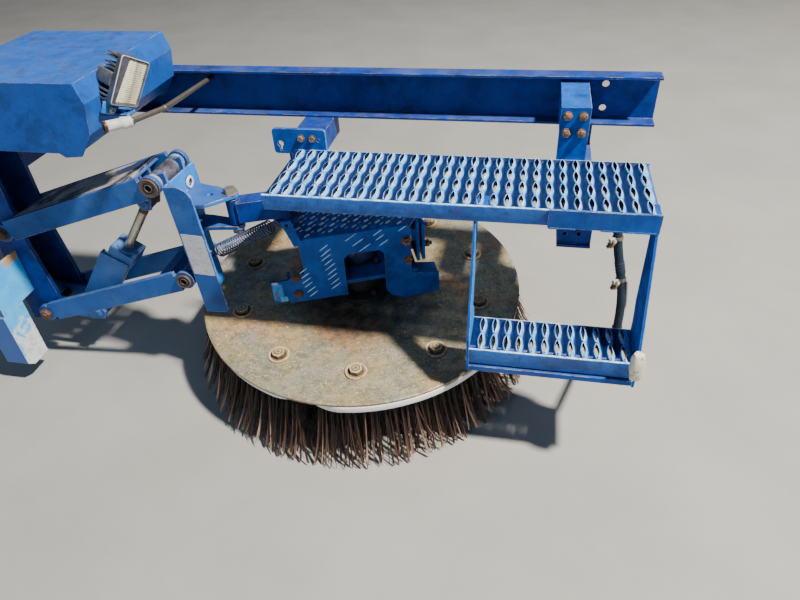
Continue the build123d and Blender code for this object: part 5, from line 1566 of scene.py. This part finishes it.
for z, wd in ((-190, 9), (-305, 9)):
    p = hose_at(z)
    hc.add(band(p, hose_at(z - 8), 11.4, wd, ear=(-0.8, -0.6, 0)))
build("hose_clamps", hc, ring_mat("clamp_dirty", (0.44, 0.42, 0.41), (0.14, 0.095, 0.065), 0.0, 0.6), "root", (), 35)
hj = MB()
seg_pts, seg_r = [], []
for k in range(17):
    z = -256 - 34 * k / 16
    seg_pts.append(hose_at(z))
    seg_r.append((12.6 if k % 4 in (1, 2) else 11.7) if 0 < k < 16 else 11.2)
hj.add(tube(seg_pts, 11.5, 22, radii=seg_r))
build("hose_coupler", hj, M_HOSE, "root")
hb = MB()
for z in (-198, -314):
    p = hose_at(z)
    d = Vector((-0.80, -0.42, -0.42)).normalized()
    hb.add(tube([p + d * 8, p + d * 17, p + d * 17.5, p + d * 25, p + d * 25.5, p + d * 31], 5, 14, radii=[6.5, 6.5, 8.2, 8.2, 5.2, 4.6]))
build("hose_barbs", hb, M_BRASS, "root")
# thin drain tail from the lower clamp, lying on the hose
tl = MB()
p0 = hose_at(-308)
tl.add(tube([p0 + Vector((13, -8, 4)), p0 + Vector((16, -9, -10)), p0 + Vector((18, -9, -30)), p0 + Vector((21, -9, -52)), p0 + Vector((22.5, -10, -70)), p0 + Vector((21, -12, -80))], 3.0, 10))
build("hose_tail", tl, M_FOOT, "root")

# ================================================================ weld beads


def bead(p, q, r=3.2, seed=0, wob=0.35):
    """Hand-laid weld: a rippled bead along a joint."""
    p, q = Vector(p), Vector(q)
    n = max(4, int((q - p).length / 2.2))
    pts, radii = [], []
    for k in range(n + 1):
        t = k / n
        c = p + (q - p) * t
        pts.append(c)
        radii.append(r * (1 + 0.16 * math.sin(k * 2.4) + wob * 0.5 * noise.noise(Vector((k * 0.35, seed, 0)))) * (0.55 if k in (0, n) else 1))
    return tube(pts, r, 8, True, 0.35, radii=radii)


wl = MB()
for k, (p, q) in enumerate((((478, 4, -44), (478, 50, -44)), ((484, 6, -9), (508, 6, -9)), ((855.5, 4, -44), (855.5, 50, -44)), ((483.5, -92, -330), (483.5, -92, -366)),
                            ((849.5, -92, -330), (849.5, -92, -366)), ((2, 241, -8), (82, 241, -8)), ((648, 241, -10), (710, 241, -10)), ((634, -2.5, -46.5), (690, -2.5, -46.5)),
                            ((740, -2.5, -46.5), (850, -2.5, -46.5)))):
    wl.add(bead(p, q, 2.6, k))
build("step_welds", wl, P_STEP, "root", (), 60)
wm = MB()
for k, (p, q) in enumerate(((on_arm(-160, -M_V + 1, -187), on_arm(128, -M_V + 1, -187)), (on_arm(92, -M_V + 7, -334), on_arm(200, -M_V + 7, -351)),
                            (on_arm(-201, -M_V + 2, -374), on_arm(-201, -M_V + 2, -306)))):
    wm.add(bead(p, q, 2.8, k + 20))
build("mount_welds", wm, P_MOUNT, "swing_arm", (), 60)

# ================================================================ stage and light
GROUND = -665.0
gnd = bpy.data.meshes.new("floor")
s = 14.0
gz = S(0, 0, GROUND).z - 0.0015
gnd.from_pydata([(-s, -s, gz), (s, -s, gz), (s, s, gz), (-s, s, gz)], [], [(0, 1, 2, 3)])
floor = bpy.data.objects.new("floor", gnd)
scene.collection.objects.link(floor)
FM = Mat("floor_pale")
fn = FM.noise(3.0, 4, 0.6)
gnd.materials.append(FM.done(FM.mix(FM.rng(fn, 0.35, 0.65), (0.34, 0.330, 0.305), (0.38, 0.368, 0.340)), 0.85))

world = bpy.data.worlds.new("world")
scene.world = world
world.use_nodes = True
world.node_tree.nodes["Background"].inputs[0].default_value = (0.42, 0.62, 1.0, 1)
world.node_tree.nodes["Background"].inputs[1].default_value = 0.13


def area(name, loc, target, size, power, col=(1, 1, 1)):
    ld = bpy.data.lights.new(name, "AREA")
    ld.size = size
    ld.energy = power
    ld.color = col
    ob = bpy.data.objects.new(name, ld)
    ob.location = loc
    ob.rotation_euler = (Vector(target) - Vector(loc)).to_track_quat("-Z", "Y").to_euler()
    scene.collection.objects.link(ob)
    return ob


mid_pt = S(150, 100, -200)
area("key", mid_pt + Vector((0.53, -0.135, 0.837)).normalized() * 7.0, mid_pt, 0.42, 1420, (1.0, 0.950, 0.87))
area("fill", mid_pt + Vector((-0.30, -0.88, 0.36)).normalized() * 4.0, mid_pt, 3.0, 30, (0.50, 0.72, 1.0))
area("rim", mid_pt + Vector((0.1, 0.9, 0.6)).normalized() * 4.0, mid_pt, 2.4, 12, (0.75, 0.87, 1.0))
